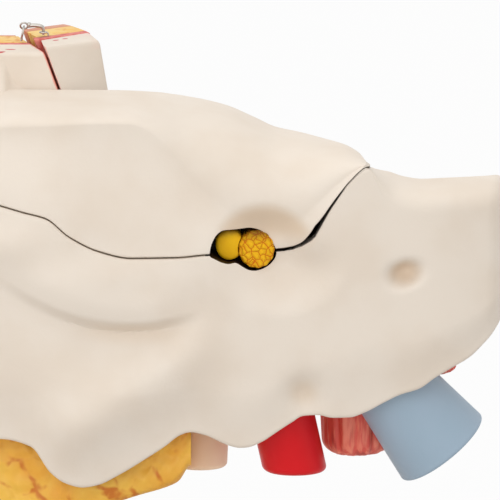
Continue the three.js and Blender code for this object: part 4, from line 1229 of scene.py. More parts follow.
    def relief(self, x: Array, z: Array) -> Array:
        """Return how deep the sculpted hollows are, less what stands forward.

        Args:
            x: Places along the bone.
            z: Heights on it.

        Returns:
            The depth there, below the plain front of the bone.
        """
        bulge = -3.0 * dome(x, z, (-72, 131), (12, 7)) - 2.0 * dome(x, z, (-40, 122), (22, 6))
        slide = (z - 122.5) * 0.25
        away = ((x - 45.6 - slide) / 4.4) ** 2 + ((z - 122.4) / 3.5) ** 2
        teardrop = self.teardrop_depth * np.exp(-(away**1.5))
        pit = self.pit_depth * dome(x, z, (15.6, 86.8), (5.4, 5.4))
        return self.bowl(x, z) + self.fold(x, z) - self.slanting_ridge(x, z) + bulge + teardrop + pit


@dataclass
class Section:
    """A sub-assembly, built in the workshop on the bones' shared form."""

    shop: Workshop
    form: BoneForm = field(default_factory=BoneForm)


@dataclass
class PetrousBone(Section):
    """The two halves of the temporal bone, parted along the seam."""

    step: float = 0.95
    face_lean: float = 6.0
    shoulder: float = 7.5
    shoulder_bend: float = 2.6
    ridge_back: float = 17.0
    apex_drop: float = 13.0
    lip_edge: float = 1.1
    seam_edge: float = 0.5
    recess: Pair = (20.0, 80.0)
    recess_floor: float = 111.0
    drum_side: float = 9.3

    def _spaces(self, tag: str) -> list[Piece]:
        """Make the spaces that both bones leave for the inner parts.

        Args:
            tag: The end of their names.

        Returns:
            The spaces.
        """
        shop, form = self.shop, self.form
        spaces = []
        for part, left, right, high in (("recess_", -33, 0.1, 153.5), ("recess_side_", -1, 24, 144.5)):
            plan = [(x, y) for x, y in zip((left, right, right, left), np.repeat(self.recess, 2))]
            spaces.append(shop.prism(part + tag, plan, self.recess_floor, high))
        outline = rounded([
            (-11.9, 128.0), (-11.4, 131.3), (-10.1, 134.0), (-8.3, 135.5), (-3.3, 135.5), (0, 135.8),
            (3.2, 134.9), (5.9, 132.6), (7.4, 129.9), (7.9, 128.1), (7.4, 126.2), (5.9, 124.4), (3.7, 123.2),
            (1.5, 122.8), (-0.7, 123.3), (-2.6, 124.6), (-4.2, 125.8), (-6.2, 125.4), (-8.4, 126.1),
            (-10.6, 127.4),
        ], 1.2, 3)
        rings = []
        for y, grow in ((-8, 1.05), (3, 1.0), (6, 1.0), (8, 1.0), (15, 1.0)):
            middle = np.array([-1.8, 130])
            flat = middle + (outline - middle) * grow
            rings.append(np.stack([flat[:, 0], np.full(len(flat), y), flat[:, 1]], axis=1))
        spaces.append(shop.loft("meatus_" + tag, rings))
        for part, passage in (("facial", FACIAL_PASSAGE), ("hearing", HEARING_PASSAGE)):
            snug = oval(14.0, passage.middle, passage.hole, 64)
            spaces.append(shop.loft(f"fundus_{part}_{tag}", np.array([snug, snug + [0, 8, 0]])))
        side, radius = self.drum_side, form.canal.radius
        corners = [(-35, -70), (0.6, -70), (0.6, side), (-35, side)]
        spaces.append(form.canal.block(shop, "drum_space_" + tag, corners, (-12, 15)))
        bore = form.canal.rod(shop, "bore_" + tag, radius, (0.5, 100), 64)
        corners = [(0.5, -60), (100.5, -60), (100.5, 0), (0.5, 0)]
        trench = form.canal.block(shop, "trench_" + tag, corners, (-radius - 2, radius + 2))
        spaces.append(shop.carved(bore, [trench], "UNION"))
        for i, (x, y) in enumerate(PIN_SPOTS):
            foot = Vector((x, y, float(form.seam(x))))
            hole = [(2.3, -6.3), (2.3, 4.3)]
            spaces.append(shop.turned(f"pin_hole_{tag}_{i}", hole, foot, foot + LIFT, 32))
        return spaces

    def lower(self) -> None:
        """Build the lower bone: scalloped lip, flat seam, rounded ridge and pointed apex."""
        form = self.form
        rings = []
        u = np.concatenate([[0.0, 0.004, 0.01, 0.018], np.linspace(0.03, 1, 92)])
        for x in np.linspace(form.left, form.apex, int((form.apex - form.left) / self.step)):
            apex = ease(34, 43, x)
            top = form.seam(x) - form.seam_opening(x) / 2 if x < SEAM_END else form.lower_top(x)
            lip = form.lower_lip(x)
            under = min(max(form.underside, lip + 6), top - 3)
            back, front = form.back(x), form.front(x)
            shoulder = min(self.shoulder, (top - lip) * 0.3) * apex
            face_top = top - shoulder
            z = lip + (face_top - lip) * u
            bend = np.clip(1 - (z - lip) / self.lip_edge, 0, 1)
            edge = self.lip_edge * (1 - np.sqrt(1 - bend**2))
            bend = np.clip(1 - (face_top - z) / self.seam_edge, 0, 1)
            break_edge = (1 - apex) * self.seam_edge * bend**2
            y = front + form.relief(x, z) + form.lip_front * (1 - ease(0, 0.3, u)) + edge + break_edge
            turn = quarter_turn(22)[1:]
            reach = min(self.ridge_back, (back - y[-1]) * 0.6)
            drop = min(self.apex_drop, (face_top - under) * 0.4)
            arc_y = y[-1] + reach * (1 - np.cos(turn) ** (2 / self.shoulder_bend))
            arc_z = face_top + shoulder * np.sin(turn) ** (2 / self.shoulder_bend)
            arc_z = arc_z - (1 - apex) * form.fall(x, arc_y)
            if x < SEAM_END:
                arc_z += (form.seam_opening(x) - form.seam_opening(x, arc_y)) / 2
            t = np.linspace(0, 1, 18)[1:]
            roof_y = mix(arc_y[-1], back, t)
            roof_z = top - mix(form.fall(x, roof_y), drop * t**1.6, apex)
            if x < SEAM_END:
                roof_z += (form.seam_opening(x) - form.seam_opening(x, roof_y)) / 2
            lip_back = min(front + form.lip_front + form.lip_thickness, back - 4)
            rest = np.array([
                (back, mix(under, roof_z[-1], 0.6)), (back - 1, under), (mix(lip_back, back, 0.5), under),
                (lip_back + 1.5, under), (lip_back, under - 1.2 if under - lip > 3 else under),
                (lip_back, mix(lip, under, 0.35)), (lip_back - 1.2, lip + 0.3), (lip_back - 2.4, lip),
            ])
            rings.append(at_x(x, pairs(y, z), pairs(arc_y, arc_z), pairs(roof_y, roof_z), rest))
        piece = self.shop.loft("lower_petrous_bone", rings)
        split, far = (form.split_at(0, y) + form.gap / 2 for y in (45, 67.9))
        plan = [(split, 45.3), (-41, 60.3), (far, 67.9)]
        pillar = self.shop.prism("pillar", plan, 120, form.wall_foot - CLEARANCE)
        left, right, back = form.left, split - 7, form.lateral_depth
        ledge = self.shop.prism("ledge", [(left, 46.5), (right, 46.5), (right, back), (left, back)], 120, 139)
        self.shop.carved(piece, [pillar, ledge], "UNION")
        self.shop.carved(piece, self._spaces("lower"))
        self.shop.dress(piece, BONE, Body.STAND, "bone", ["lower_bone"], 35)

    def upper(self) -> None:
        """Build the upper bone: face, light plateau and the left wall block that grows out of it."""
        form = self.form
        rings = []
        u = np.concatenate([[0.0, 0.006, 0.012, 0.02], np.linspace(0.03, 1, 56)])
        for x in np.linspace(form.left, 35.3, int((35.3 - form.left) / self.step)):
            low = form.seam(x) + form.seam_opening(x) / 2
            top = max(form.upper_top(x), low + 0.25)
            turn = ease(-34, 8, x)
            start = mix(form.upper_crest(x), mix(low, top, 0.32), ease(-36, 0, x))
            bend = mix(2.3, 2.5, turn)
            z = low + (start - low) * u
            break_edge = self.seam_edge * np.clip(1 - (z - low) / self.seam_edge, 0, 1) ** 2
            lean = mix(self.face_lean, 1.5, turn) * ease(0, 1, u)
            y = form.front(x) + form.relief(x, z) + lean + break_edge
            arc = quarter_turn(48)[1:]
            along, up = 1 - np.cos(arc) ** (2 / bend), np.sin(arc) ** (2 / bend)
            arc_z = mix(start, top, up)
            plain = y[-1] - form.relief(x, start)
            relief = form.relief(x, arc_z) * (1 - ease(0.5, 1, up))
            arc_y = mix(plain, max(form.ridge(x), plain + 1), along) + relief
            back = form.depth - 5.6 * (1 - ease(-26, -20, x))
            low_back = form.seam(x) + 0.25 - form.fall(x, back)
            t = np.linspace(0, 1, 14)[1:]
            roof_y = mix(arc_y[-1], back, t)
            fallen = top - mix(1.5, 10, ease(0, 33, x)) - 2 * ease(33, 35, x)
            roof_z = mix(top, max(fallen, low_back + 0.4), t ** mix(1.6, 0.8, ease(32, 35, x)))
            under_y = np.linspace(back, y[0], 25)[:-1]
            under_z = form.seam(x) + form.seam_opening(x, under_y) / 2 - form.fall(x, under_y)
            rest = pairs(under_y, under_z)
            rings.append(at_x(x, pairs(y, z), pairs(arc_y, arc_z), pairs(roof_y, roof_z), rest))
        piece = self.shop.loft("upper_petrous_bone", rings)
        self.shop.carved(piece, [self._left_block()], "UNION")
        pocket = form.right_of_split(self.shop, "pocket", 44.4, 90, -24)
        self.shop.carved(piece, [pocket, *self._spaces("upper")])
        self.shop.dress(piece, WALL_BONE, Body.UPPER, "bone", ["upper_bone"], 35)

    def _left_block(self) -> Piece:
        """Make the left wall block with the swept foot that runs into the plateau.

        Returns:
            The new object.
        """
        form = self.form
        rings = []
        for x in np.linspace(form.left, form.split_x, 70):
            low = form.seam(x) + form.seam_opening(x) / 2
            foot = form.upper_top(x) - 2.2
            rise = form.block_rise(x)
            reach = 1.5 + 1.7 * rise
            back = form.wall_front + form.wall_bone
            turn = quarter_turn(22)
            arc = pairs(form.wall_front - reach * (1 - np.sin(turn)), foot + rise * (1 - np.cos(turn)))
            top = form.left_top
            bend = quarter_turn(10)
            corner = pairs(form.wall_front + 1.4 * (1 - np.cos(bend)), top - 1.4 + 1.4 * np.sin(bend))
            rings.append(at_x(x, [(form.wall_front - reach, low)], arc, corner, [(back, top), (back, low)]))
        block = self.shop.loft("left_block", rings)
        return self.shop.carved(block, [form.right_of_split(self.shop, "beyond_split", 0, 90, 0)])

    def build(self) -> None:
        """Build both bones."""
        self.lower()
        self.upper()


@dataclass
class WallBlocks(Section):
    """The muscle, fat and skin behind the left block, and the four slabs of the right block."""

    muscle: float = 4.4
    fat: float = 11.8
    skin: float = 3.2
    right_top: float = 182.6
    layer_foot: float = 152.0
    layer_gap: float = 0.42
    rise: float = 0.167
    edge_y: Profile = profile([(0, 45), (12, 57.6), (15.1, 60.4), (29, 72.5), (32.8, 75.5)])
    flank_x: Profile = profile([(0, -44.5), (12, -47.4), (15.1, -48.3), (29, -53), (32.8, -55)])
    flank_y: Profile = profile([(0, 57), (12, 70.4), (15.1, 73), (29, 82.5), (32.8, 84.9)])

    def _left_slab(self, name: str, start: float, depth: float) -> Piece:
        """Make one slab behind the left block.

        Args:
            name: The object's name.
            start: The depth of its face.
            depth: Its thickness.

        Returns:
            The new object.
        """
        form = self.form
        rings = []
        soft = min(2.0, depth / 2)
        for x in np.linspace(form.left + 1, form.split_x, 44):
            sag = 3 * ease(-80, -105, x)
            top = form.left_top - sag - (start - form.wall_front - form.wall_bone) * 0.03
            bend = quarter_turn(8)
            y = start + depth - soft + soft * np.sin(bend)
            z = top - soft + soft * np.cos(bend)
            front = [(start, self.layer_foot), (start, top - 0.4), (start + 0.4, top)]
            rings.append(at_x(x, front, pairs(y, z), [(start + depth, self.layer_foot)]))
        slab = self.shop.loft(name, rings)
        return self.shop.carved(slab, [form.right_of_split(self.shop, "beyond_" + name, 0, 120, 0)])

    def _right_slab(self, name: str, start: float, depth: float, foot: float, edge: Pair) -> Piece:
        """Make one slab of the right block, between the leaning cut and the slanted end.

        Args:
            name: The object's name.
            start: How far the slab's face is behind the block's face.
            depth: The slab's thickness.
            foot: The height of its underside.
            edge: How far its left end stands back from the cut, at its face and at its back.

        Returns:
            The new object.
        """
        form = self.form
        bevel = 1.6 if start == 0 else 0.8
        bend = quarter_turn(12)
        levels = [(foot, 0.0), *((form.lean_foot + rise, 0.0) for rise in np.linspace(0, 15, 12))]
        levels += [(self.right_top - bevel + bevel * math.sin(b), bevel * (1 - math.cos(b))) for b in bend]
        rings = []
        for z, inset in levels:
            near, far = start + (inset if start == 0 else inset * 0.2), start + depth
            shift = self.rise * (z - self.right_top) + inset * 0.6
            a, d = (
                np.array([form.split_at(z, self.edge_y(part)) + form.gap / 2 + back_off, self.edge_y(part)])
                for part, back_off in ((near, edge[0]), (far, edge[1]))
            )
            b, c = (np.array([self.flank_x(part) - shift, self.flank_y(part)]) for part in (near, far))
            plan = rounded([a, b, c, d], 0.5 if start else 0.9, 4)
            rings.append(np.concatenate([plan, np.full((len(plan), 1), z)], axis=1))
        return self.shop.loft(name, rings)

    def build(self) -> None:
        """Build all the slabs."""
        form, shop = self.form, self.shop
        start = form.wall_front + form.wall_bone + CLEARANCE
        left = [
            ("left_block_muscle", "rear_wall_muscle", self.muscle, LAYER_MUSCLE, "muscle"),
            ("left_block_fat", "rear_wall_fat", self.fat, LAYER_FAT, "fat"),
            ("left_block_skin", "rear_wall_skin", self.skin, SKIN, "skin"),
        ]
        for name, node, depth, look, slot in left:
            shop.dress(self._left_slab(name, start, depth), look, Body.UPPER, slot, [node])
            start += depth + CLEARANCE
        start = 0.0
        right = [
            ("right_block_bone", "front_wall_bone", 11.4, WALL_BONE, "bone", (0.1, 2.3)),
            ("right_block_muscle", "front_wall_muscle", 4.1, LAYER_MUSCLE, "muscle", (0.6, 1.0)),
            ("right_block_fat", "front_wall_fat", 11.6, LAYER_FAT, "fat", (2.6, 2.0)),
            ("right_block_skin", "front_wall_skin", 4.4, SKIN, "skin", (1.8, 1.6)),
        ]
        for name, node, depth, look, slot, edge in right:
            foot = form.wall_foot if start == 0 else self.layer_foot
            shop.dress(self._right_slab(name, start, depth, foot, edge), look, Body.STAND, slot, [node])
            start += depth + self.layer_gap


@dataclass
class Latch(Section):
    """The wire hook, its screw eye on the left block and the eye it drops into."""

    screw_eye: Place = (-67.35, 63.4, 184.0)
    screw_foot: Place = (-67.9, 63.4, 181.3)
    eye_radius: float = 1.8
    eye_lean: float = 0.2
    catch: Place = (-61.3, 63.4, 183.9)
    catch_radius: float = 1.0
    link_radius: float = 1.1
    link_tilt: float = 0.44
    wire: float = 0.27
    right_top: float = 182.6

    def _ring(self, name: str, middle: Array, radius: float, normal: Sequence[float]) -> Piece:
        """Make a closed wire ring round an axis.

        Args:
            name: The object's name.
            middle: Its middle.
            radius: The radius of the wire's line.
            normal: The axis.

        Returns:
            The new object.
        """
        axis = np.array(Vector(normal).normalized())
        u = np.array(Vector(axis).orthogonal().normalized())
        v = np.cross(axis, u)
        rings = []
        for a in full_turn(48):
            out = math.cos(a) * u + math.sin(a) * v
            rings.append(hoop(middle + out * radius, self.wire, out, axis, 16))
        return self.shop.loft(name, rings, closed=True)

    def build(self) -> None:
        """Build the three pieces of the latch."""
        shop, wire = self.shop, self.wire
        eye, foot, catch = np.array(self.screw_eye), np.array(self.screw_foot), np.array(self.catch)
        up = np.array([math.sin(self.eye_lean), 0, math.cos(self.eye_lean)])
        across = (math.cos(self.eye_lean), 0, -math.sin(self.eye_lean))
        screw = self._ring("hook_screw_eye", eye, self.eye_radius, across)
        stem = shop.bar("stem", [foot, eye - up * self.eye_radius], lambda t: wire * 1.4, 20, 8)
        shop.carved(screw, [stem], "UNION")
        shop.dress(screw, STEEL, Body.UPPER, "steel", ["latch_screw_eye"], 50)
        ring = self._ring("catch_eye", catch, self.catch_radius, (0, 0, 1))
        out = catch + np.array([self.catch_radius, 0, 0])
        bends = [out, out + [0.4, 0, -0.3], (out[0] + 0.5, out[1], self.right_top + 0.32)]
        stem = shop.bar("foot", bends, lambda t: wire * 0.98, 20, 24)
        shop.carved(ring, [stem], "UNION")
        shop.dress(ring, STEEL, Body.STAND, "steel", ["latch_catch_eye"], 50)
        middle = eye + up * self.eye_radius + [0, 0, 0.1]
        across = (0, math.cos(self.link_tilt), math.sin(self.link_tilt))
        hook = self._ring("wire_hook", middle, self.link_radius, across)
        start = middle + [self.link_radius, 0, 0]
        tip = np.array([catch[0], catch[1], self.right_top + 0.5])
        over = tip + [-0.3, 0, 2.4]
        bends = [start, mix(start, over, 0.5) + [0, 0, 0.3], over, tip + [0.05, 0, 1.4], tip]
        shank = shop.bar("shank", bends, lambda t: 0.62 - 0.28 * ease(0.5, 1.0, t), 20, 90)
        bead = shop.ball("bead", start + [0.4, 0, 0.4], 0.7)
        shop.carved(hook, [shank, bead], "UNION")
        shop.dress(hook, STEEL, Body.LATCH, "steel", ["latch_hook"], 50)


@dataclass
class Underside(Section):
    """What leaves the bone below: fat, styloid process, artery, muscles and auditory tube."""

    gap: float = 0.3
    top: float = 83.6
    tube_foot: Place = (57.0, 25, 65.8)
    tube_way: Place = (-0.614, -0.12, 0.786)
    tube_length: float = 28.4
    styloid: Pair = (-14.7, 33)
    styloid_foot: float = 58.8
    lumps: tuple[tuple[float, ...], ...] = (
        (0.5, 0.43, 0.3, 0.62, 0.31), (0.9, -0.7, 1.2, 0.8, 0.55), (1.4, 1.1, 2.0, 1.2, -0.9),
    )
    fat_low: Profile = profile([
        (-103, 49), (-98, 45.7), (-60, 45.7), (-39.4, 51.4), (-32.4, 53.6), (-25.6, 55.6), (-21.2, 57.6),
        (-17.4, 62.5),
    ])

    def _bone_space(self, tag: str) -> Piece:
        """Make the space that the lip and underside of the bone fill, with a little clearance.

        Args:
            tag: The end of its name.

        Returns:
            The new object.
        """
        form, grow = self.form, self.gap
        rings = []
        for x in np.linspace(form.left - 1, form.apex, 150):
            lip = form.lower_lip(x) - grow
            under = max(form.underside, form.lower_lip(x) + 6) - grow
            front = form.front(x) + form.lip_front + form.lip_thickness + grow
            flat = [(-20, lip), (front, lip), (front, under), (80, under), (80, 160), (-20, 160)]
            rings.append([(x, y, z) for y, z in flat])
        return self.shop.loft("bone_space_" + tag, rings)

    def _stub(
        self, name: str, foot: Vector, head: Vector, low: float, high: float, soft: float, grow: float = 0.0,
        waver: float = 0.0, level: bool = False,
    ) -> Piece:
        """Make a round stump with a softened lower end.

        Args:
            name: The object's name.
            foot: The middle of its lower end.
            head: The middle of its upper end.
            low: Its radius below.
            high: Its radius above.
            soft: The rounding of its lower end.
            grow: How much larger than the piece the body is.
            waver: How deep the long flutes on its side are.
            level: Whether its lower end is cut level and not square to it.

        Returns:
            The new object.
        """
        length = (head - foot).length
        turn = quarter_turn(12)
        points = [(0.3 * (low - soft), -grow), (0.7 * (low - soft), -grow)]
        points += [(low - soft + soft * math.sin(a) + grow, soft - soft * math.cos(a) - grow) for a in turn]
        for h in np.linspace(soft + 0.4, length, 40):
            points.append((low + (high - low) * (h - soft) / (length - soft) + grow, h))
        piece = self.shop.turned(name, points, foot, head, 96)
        if level:
            axis = (head - foot).normalized()
            base = Vector((np.array(foot) + ANATOMY_ORIGIN) / METRE)
            for vertex in piece.data.vertices:
                along = (vertex.co - base).dot(axis)
                off = (vertex.co - base - axis * along).z
                vertex.co -= axis * (off / axis.z * max(0.0, min(1.0, 1.15 - along * 50)))
        if waver:
            axis = np.array((head - foot).normalized())
            base = (np.array(foot) + ANATOMY_ORIGIN) / METRE
            for vertex in piece.data.vertices:
                out = np.array(vertex.co) - base
                along = out @ axis
                side = out - axis * along
                reach = np.linalg.norm(side)
                if reach > 1e-5:
                    angle = math.atan2(side[1], side[0])
                    flute = math.sin(11 * angle + 40 * along) + 0.6 * math.sin(23 * angle - 25 * along + 1)
                    share = min(reach / (low / METRE), 1)
                    inward = side / reach * waver * 0.0005 * (1.6 + flute) * share
                    vertex.co = Vector(np.array(vertex.co) - inward)
        return piece

    def _tube_ends(self) -> tuple[Vector, Vector]:
        """Return the lower and the upper end of the auditory tube's line."""
        foot = Vector(self.tube_foot)
        return foot, foot + Vector(self.tube_way).normalized() * self.tube_length

    def _tube(self, name: str, grow: float = 0.0) -> Piece:
        """Make the flared stump of the auditory tube."""
        return self._stub(name, *self._tube_ends(), 15, 11.6, 0.9, grow)

    def _styloid(self, name: str, grow: float = 0.0) -> Piece:
        """Make the stump of the styloid process."""
        foot, head = Vector((*self.styloid, self.styloid_foot)), Vector((*self.styloid, self.top))
        return self._stub(name, foot, head, 8, 9, 1.5, grow)

    def _lumpy_fat(self) -> Piece:
        """Make the fat body: soft lobules over a rounded block, flat where it rests on the pedestal.

        Returns:
            The new object.
        """
        rings = []
        for x in np.linspace(-103, -17.4, 110):
            low = float(self.fat_low(x))
            y = float(self.form.front(x)) + self.form.lip_front + self.form.lip_thickness + 0.9
            back = 60 - 20 * ease(-40, -18, x)
            flat = rounded([(y, self.top), (y, low), (back, low), (back, self.top)], 6.0, 12)
            dense = []
            for i, point in enumerate(flat):
                after = flat[(i + 1) % len(flat)]
                count = max(1, int(np.linalg.norm(after - point) / 1.0))
                dense.append((point, after, count))
            ring = np.concatenate([
                mix(a, b, np.linspace(0, 1, n, endpoint=False)[:, None]) for a, b, n in dense
            ])
            gaps = np.linalg.norm(np.diff(ring, axis=0, append=ring[:1]), axis=1)
            length = np.concatenate([[0], np.cumsum(gaps)])
            even = np.linspace(0, length[-1], 150, endpoint=False)
            closed = np.concatenate([ring, ring[:1]])
            ring = np.stack([np.interp(even, length, closed[:, i]) for i in range(2)], axis=1)
            middle = np.array([(y + back) / 2, (low + self.top) / 2])
            lump = sum(
                np.sin(ring[:, 0] * a + x * b + c) * np.sin(ring[:, 1] * d + x * e)
                for a, b, c, d, e in self.lumps
            )
            rest = ease(low + 1.5, low + 5, ring[:, 1]) * ease(self.top - 0.5, self.top - 4, ring[:, 1])
            inward = (middle - ring) / np.linalg.norm(middle - ring, axis=1)[:, None]
            ring = ring + inward * (0.55 + 0.35 * lump)[:, None] * rest[:, None]
            rings.append(at_x(x, ring))
        return self.shop.loft("parotid_fat_body", rings)

    def build(self) -> None:
        """Build every piece under the bone."""
        shop, top = self.shop, self.top
        fat = self._lumpy_fat()
        shop.carved(fat, [self._styloid("styloid_hole", self.gap), self._bone_space("fat")])
        shop.dress(fat, FAT, Body.STAND, "fat", ["parotid_fat"], 60)
        shop.dress(self._styloid("styloid_stump"), STYLOID, Body.STAND, "styloid", ["styloid_process"])
        foot = Vector((13.4, 23, 59.3))
        rise = top - foot.z
        head = foot + Vector((-rise * 0.215, -rise * 0.14, rise))
        artery = self._stub("carotid_stump", foot, head.lerp(foot, -0.3), 9.3, 9.3, 2.0, level=True)
        roof = shop.prism("roof", [(-200, -100), (200, -100), (200, 100), (-200, 100)], top, 200)
        shop.carved(artery, [roof])
        shop.dress(artery, ARTERY, Body.STAND, "artery", ["carotid_artery"])
        tube = self._tube("auditory_tube_end")
        start, end = self._tube_ends()
        lumen = self._stub("lumen", start.lerp(end, -0.05), start.lerp(end, 0.45), 10, 2, 0.5)
        shop.carved(tube, [self._bone_space("tube"), lumen])
        shop.dress(tube, TUBE_BLUE, Body.STAND, "auditory_tube", ["auditory_tube"])
        foot, head = Vector((31.8, 35, 62.6)), Vector((30.9, 35, 102.6))
        palate = self._stub("palate_lifting_muscle", foot, head, 10.7, 11.3, 5, waver=0.9)
        shop.carved(palate, [self._bone_space("palate"), self._tube("tube_space_1", self.gap)])
        shop.dress(palate, MUSCLE, Body.STAND, "muscle", ["palate_muscle"], 60)
        foot, head = Vector((56.5, 30, 87.5)), Vector((50.5, 30, 117.5))
        tensor = self._stub("tube_tensing_muscle", foot, head, 5, 5, 2, waver=0.6)
        shop.carved(tensor, [self._bone_space("tensor"), self._tube("tube_space_2", self.gap)])
        shop.dress(tensor, MUSCLE, Body.STAND, "muscle", ["tube_muscle"], 60)


@dataclass
class InnerEar(Section):
    """The labyrinth with its two nerves, which draws out to the display side as one piece."""

    middle: Place = (-23.0, 37.0, 130.0)
    radius: float = 6.4
    squash: float = 0.85
    cochlea: Place = (7.0, 34.5, 129.0)
    turns: float = 2.5
    cochlea_radius: float = 9.6
    cochlea_rise: float = 9.0
    gyre: float = 3.6
    tip: float = 1.5

    def _vestibule(self, name: str, grow: float = 0.0) -> Piece:
        """Make the egg-shaped vestibule."""
        return self.shop.ball(name, self.middle, self.radius + grow, (1, self.squash, 1.08))

    def _cochlea(self) -> Piece:
        """Make the cochlea: a tapering tube wound two and a half turns up a conical core.

        Returns:
            The new object.
        """
        cx, cy, cz = self.cochlea
        t = np.linspace(0, 1, 260)
        turn = -np.pi / 2 + t * self.turns * 2 * np.pi
        radius = mix(self.cochlea_radius, self.tip * 0.9, t**0.9)
        path = np.stack([radius * np.cos(turn), t * self.cochlea_rise, radius * np.sin(turn)], axis=1)
        mx, my, mz = self.middle
        door = np.array([mx - cx + self.radius * 0.4, my - cy, mz - cz - 3])
        bend = np.array([-self.cochlea_radius, 0, -self.cochlea_radius])
        s = np.linspace(0, 1, 26)[:-1, None]
        entry = (1 - s) ** 2 * door + 2 * s * (1 - s) * bend + s**2 * path[0]
        line = np.concatenate([entry, path])
        share = np.concatenate([np.zeros(len(entry)), t])
        along = np.gradient(line, axis=0)
        along /= np.linalg.norm(along, axis=1)[:, None]
        rings = []
        for point, forward, part in zip(line, along, share):
            side = np.array([0, 1.0, 0]) - forward * forward[1]
            side /= np.linalg.norm(side)
            up = np.cross(forward, side)
            r = mix(self.gyre, self.tip, part**0.75)
            if part >= 1:
                r *= 0.6
            rings.append(hoop(point, r, side, up, 28))
        tube = self.shop.loft("cochlea_spiral", np.array(rings) + np.array(self.cochlea))
        core_points = [(0.3, -3.4), (5.0, -3.4), (5.4, -3.0), (4.32, 0), (2.1, 7.2), (0.4, 8.9)]
        foot = Vector(self.cochlea)
        core = self.shop.turned("core", core_points, foot, foot + Vector((0, 1, 0)), 64)
        self.shop.carved(tube, [core], "UNION")
        self.shop.carved(tube, [self._vestibule("vestibule_space_c", CLEARANCE)])
        return tube

    def _canal(self, name: str, offset: Place, u: Place, v: Place, turn: Pair, radius: float) -> Piece:
        """Make one semicircular canal with the swelling at its first foot.

        Args:
            name: The object's name.
            offset: The middle of its arc, from the middle of the vestibule.
            u: One direction of its plane.
            v: The other direction.
            turn: The angles, in degrees, where it starts and ends.
            radius: The radius of its arc.

        Returns:
            The new object.
        """
        middle = np.array(self.middle) + np.array(offset)
        u_axis, v_axis = np.array(u, float), np.array(v, float)
        normal = np.cross(u_axis, v_axis)
        rings = []
        for t in np.linspace(0, 1, 90):
            a = math.radians(turn[0] + (turn[1] - turn[0]) * t)
            r = 1.4 * (1 + 0.7 * math.exp(-(((t - 0.12) / 0.08) ** 2))) * 0.985
            out = math.cos(a) * u_axis + math.sin(a) * v_axis
            rings.append(hoop(middle + out * radius, r, out, normal, 24))
        piece = self.shop.loft(name, rings)
        return self.shop.carved(piece, [self._vestibule("vestibule_space_" + name, CLEARANCE)])

    def build(self) -> None:
        """Build the labyrinth and both nerves."""
        shop = self.shop
        shop.dress(self._vestibule("vestibule_body"), INNER_EAR, Body.LABYRINTH, "labyrinth", ["vestibule"])
        arcs = [
            ("superior_canal_arc", "superior_canal", (4, 1, 12.2), (1, 0, 0), (0, 0, 1), (-78, 232), 6.8),
            ("posterior_canal_arc", "posterior_canal", (-5.2, -7.6, 5), (0, 1, 0), (0, 0, 1), (20, 300), 6.0),
            ("lateral_canal_arc", "lateral_canal", (-0.8, 5.4, 0.5), (1, 0, 0), (0, 1, 0), (-48, 228), 5.0),
        ]
        for name, node, offset, u, v, turn, radius in arcs:
            arc = self._canal(name, offset, u, v, turn, radius)
            shop.dress(arc, INNER_EAR, Body.LABYRINTH, "labyrinth", [node])
        shop.dress(self._cochlea(), INNER_EAR, Body.LABYRINTH, "labyrinth", ["cochlea"])
        core = self.cochlea[1] - 3.4 - CLEARANCE
        (x, z), (rx, rz) = HEARING_PASSAGE.middle, HEARING_PASSAGE.nerve
        cx, _, cz = self.cochlea
        keys = [
            (4.0, 0, 0.12, 0), (4.03, 0, 0.3, 0), (4.09, 0, 0.5, 0), (4.2, 0, 0.7, 0.5), (4.4, 0, 0.85, 1),
            (4.75, 0, 0.94, 1), (5.2, 0, 0.985, 1), (6, 0, 1, 1), (9, 0, 1, 1), (12, 0, 1, 1), (15, 0, 1, 0),
            (20.5, 0, 1, 0), (24, 0.1, 0.95, 0), (core - 1, 0.9, 0.82, 0), (core, 1, 0.8, 0),
        ]
        hearing = shop.loft("hearing_nerve", np.array([
            oval(y, (mix(x, cx, to), mix(z, cz, to)), (rx * grow, rz * grow), 96, 0.035 * flute)
            for y, to, grow, flute in keys
        ]))
        shop.dress(hearing, HEARING, Body.LABYRINTH, "nerve", ["vestibulocochlear_nerve"], 60)
        (x, z), (rx, rz) = FACIAL_PASSAGE.middle, FACIAL_PASSAGE.nerve
        keys = np.array([
            (5.0, 0, 0, 0.12), (5.02, 0, 0, 0.3), (5.08, 0, 0, 0.5), (5.2, 0, 0, 0.74), (5.4, 0, 0, 0.88),
            (5.7, 0, 0, 0.96), (6.1, 0, 0, 1.0), (20.5, 0, 0, 1.0), (23, -1.4, 0.6, 0.84),
            (24.5, -2.6, 1.0, 0.76), (26, -3.8, 1.35, 0.7), (28, -5.7, 1.9, 0.65), (30, -7.9, 2.3, 0.62),
            (32, -10.2, 2.5, 0.6), (35, -14.7, 2.3, 0.6),
        ])
        facial = shop.loft("facial_nerve_trunk", np.array([
            oval(y, (x + dx, z + dz), (rx * grow, rz * grow), 96) for y, dx, dz, grow in keys
        ]))
        beside = shop.loft("hearing_nerve_space", np.array([
            oval(y, HEARING_PASSAGE.middle, HEARING_PASSAGE.hole, 72) for y in (3.0, 23.5)
        ]))
        shop.carved(facial, [beside, self._vestibule("vestibule_space_f", CLEARANCE)])
        shop.dress(facial, FACIAL, Body.LABYRINTH, "nerve", ["facial_nerve"], 60)


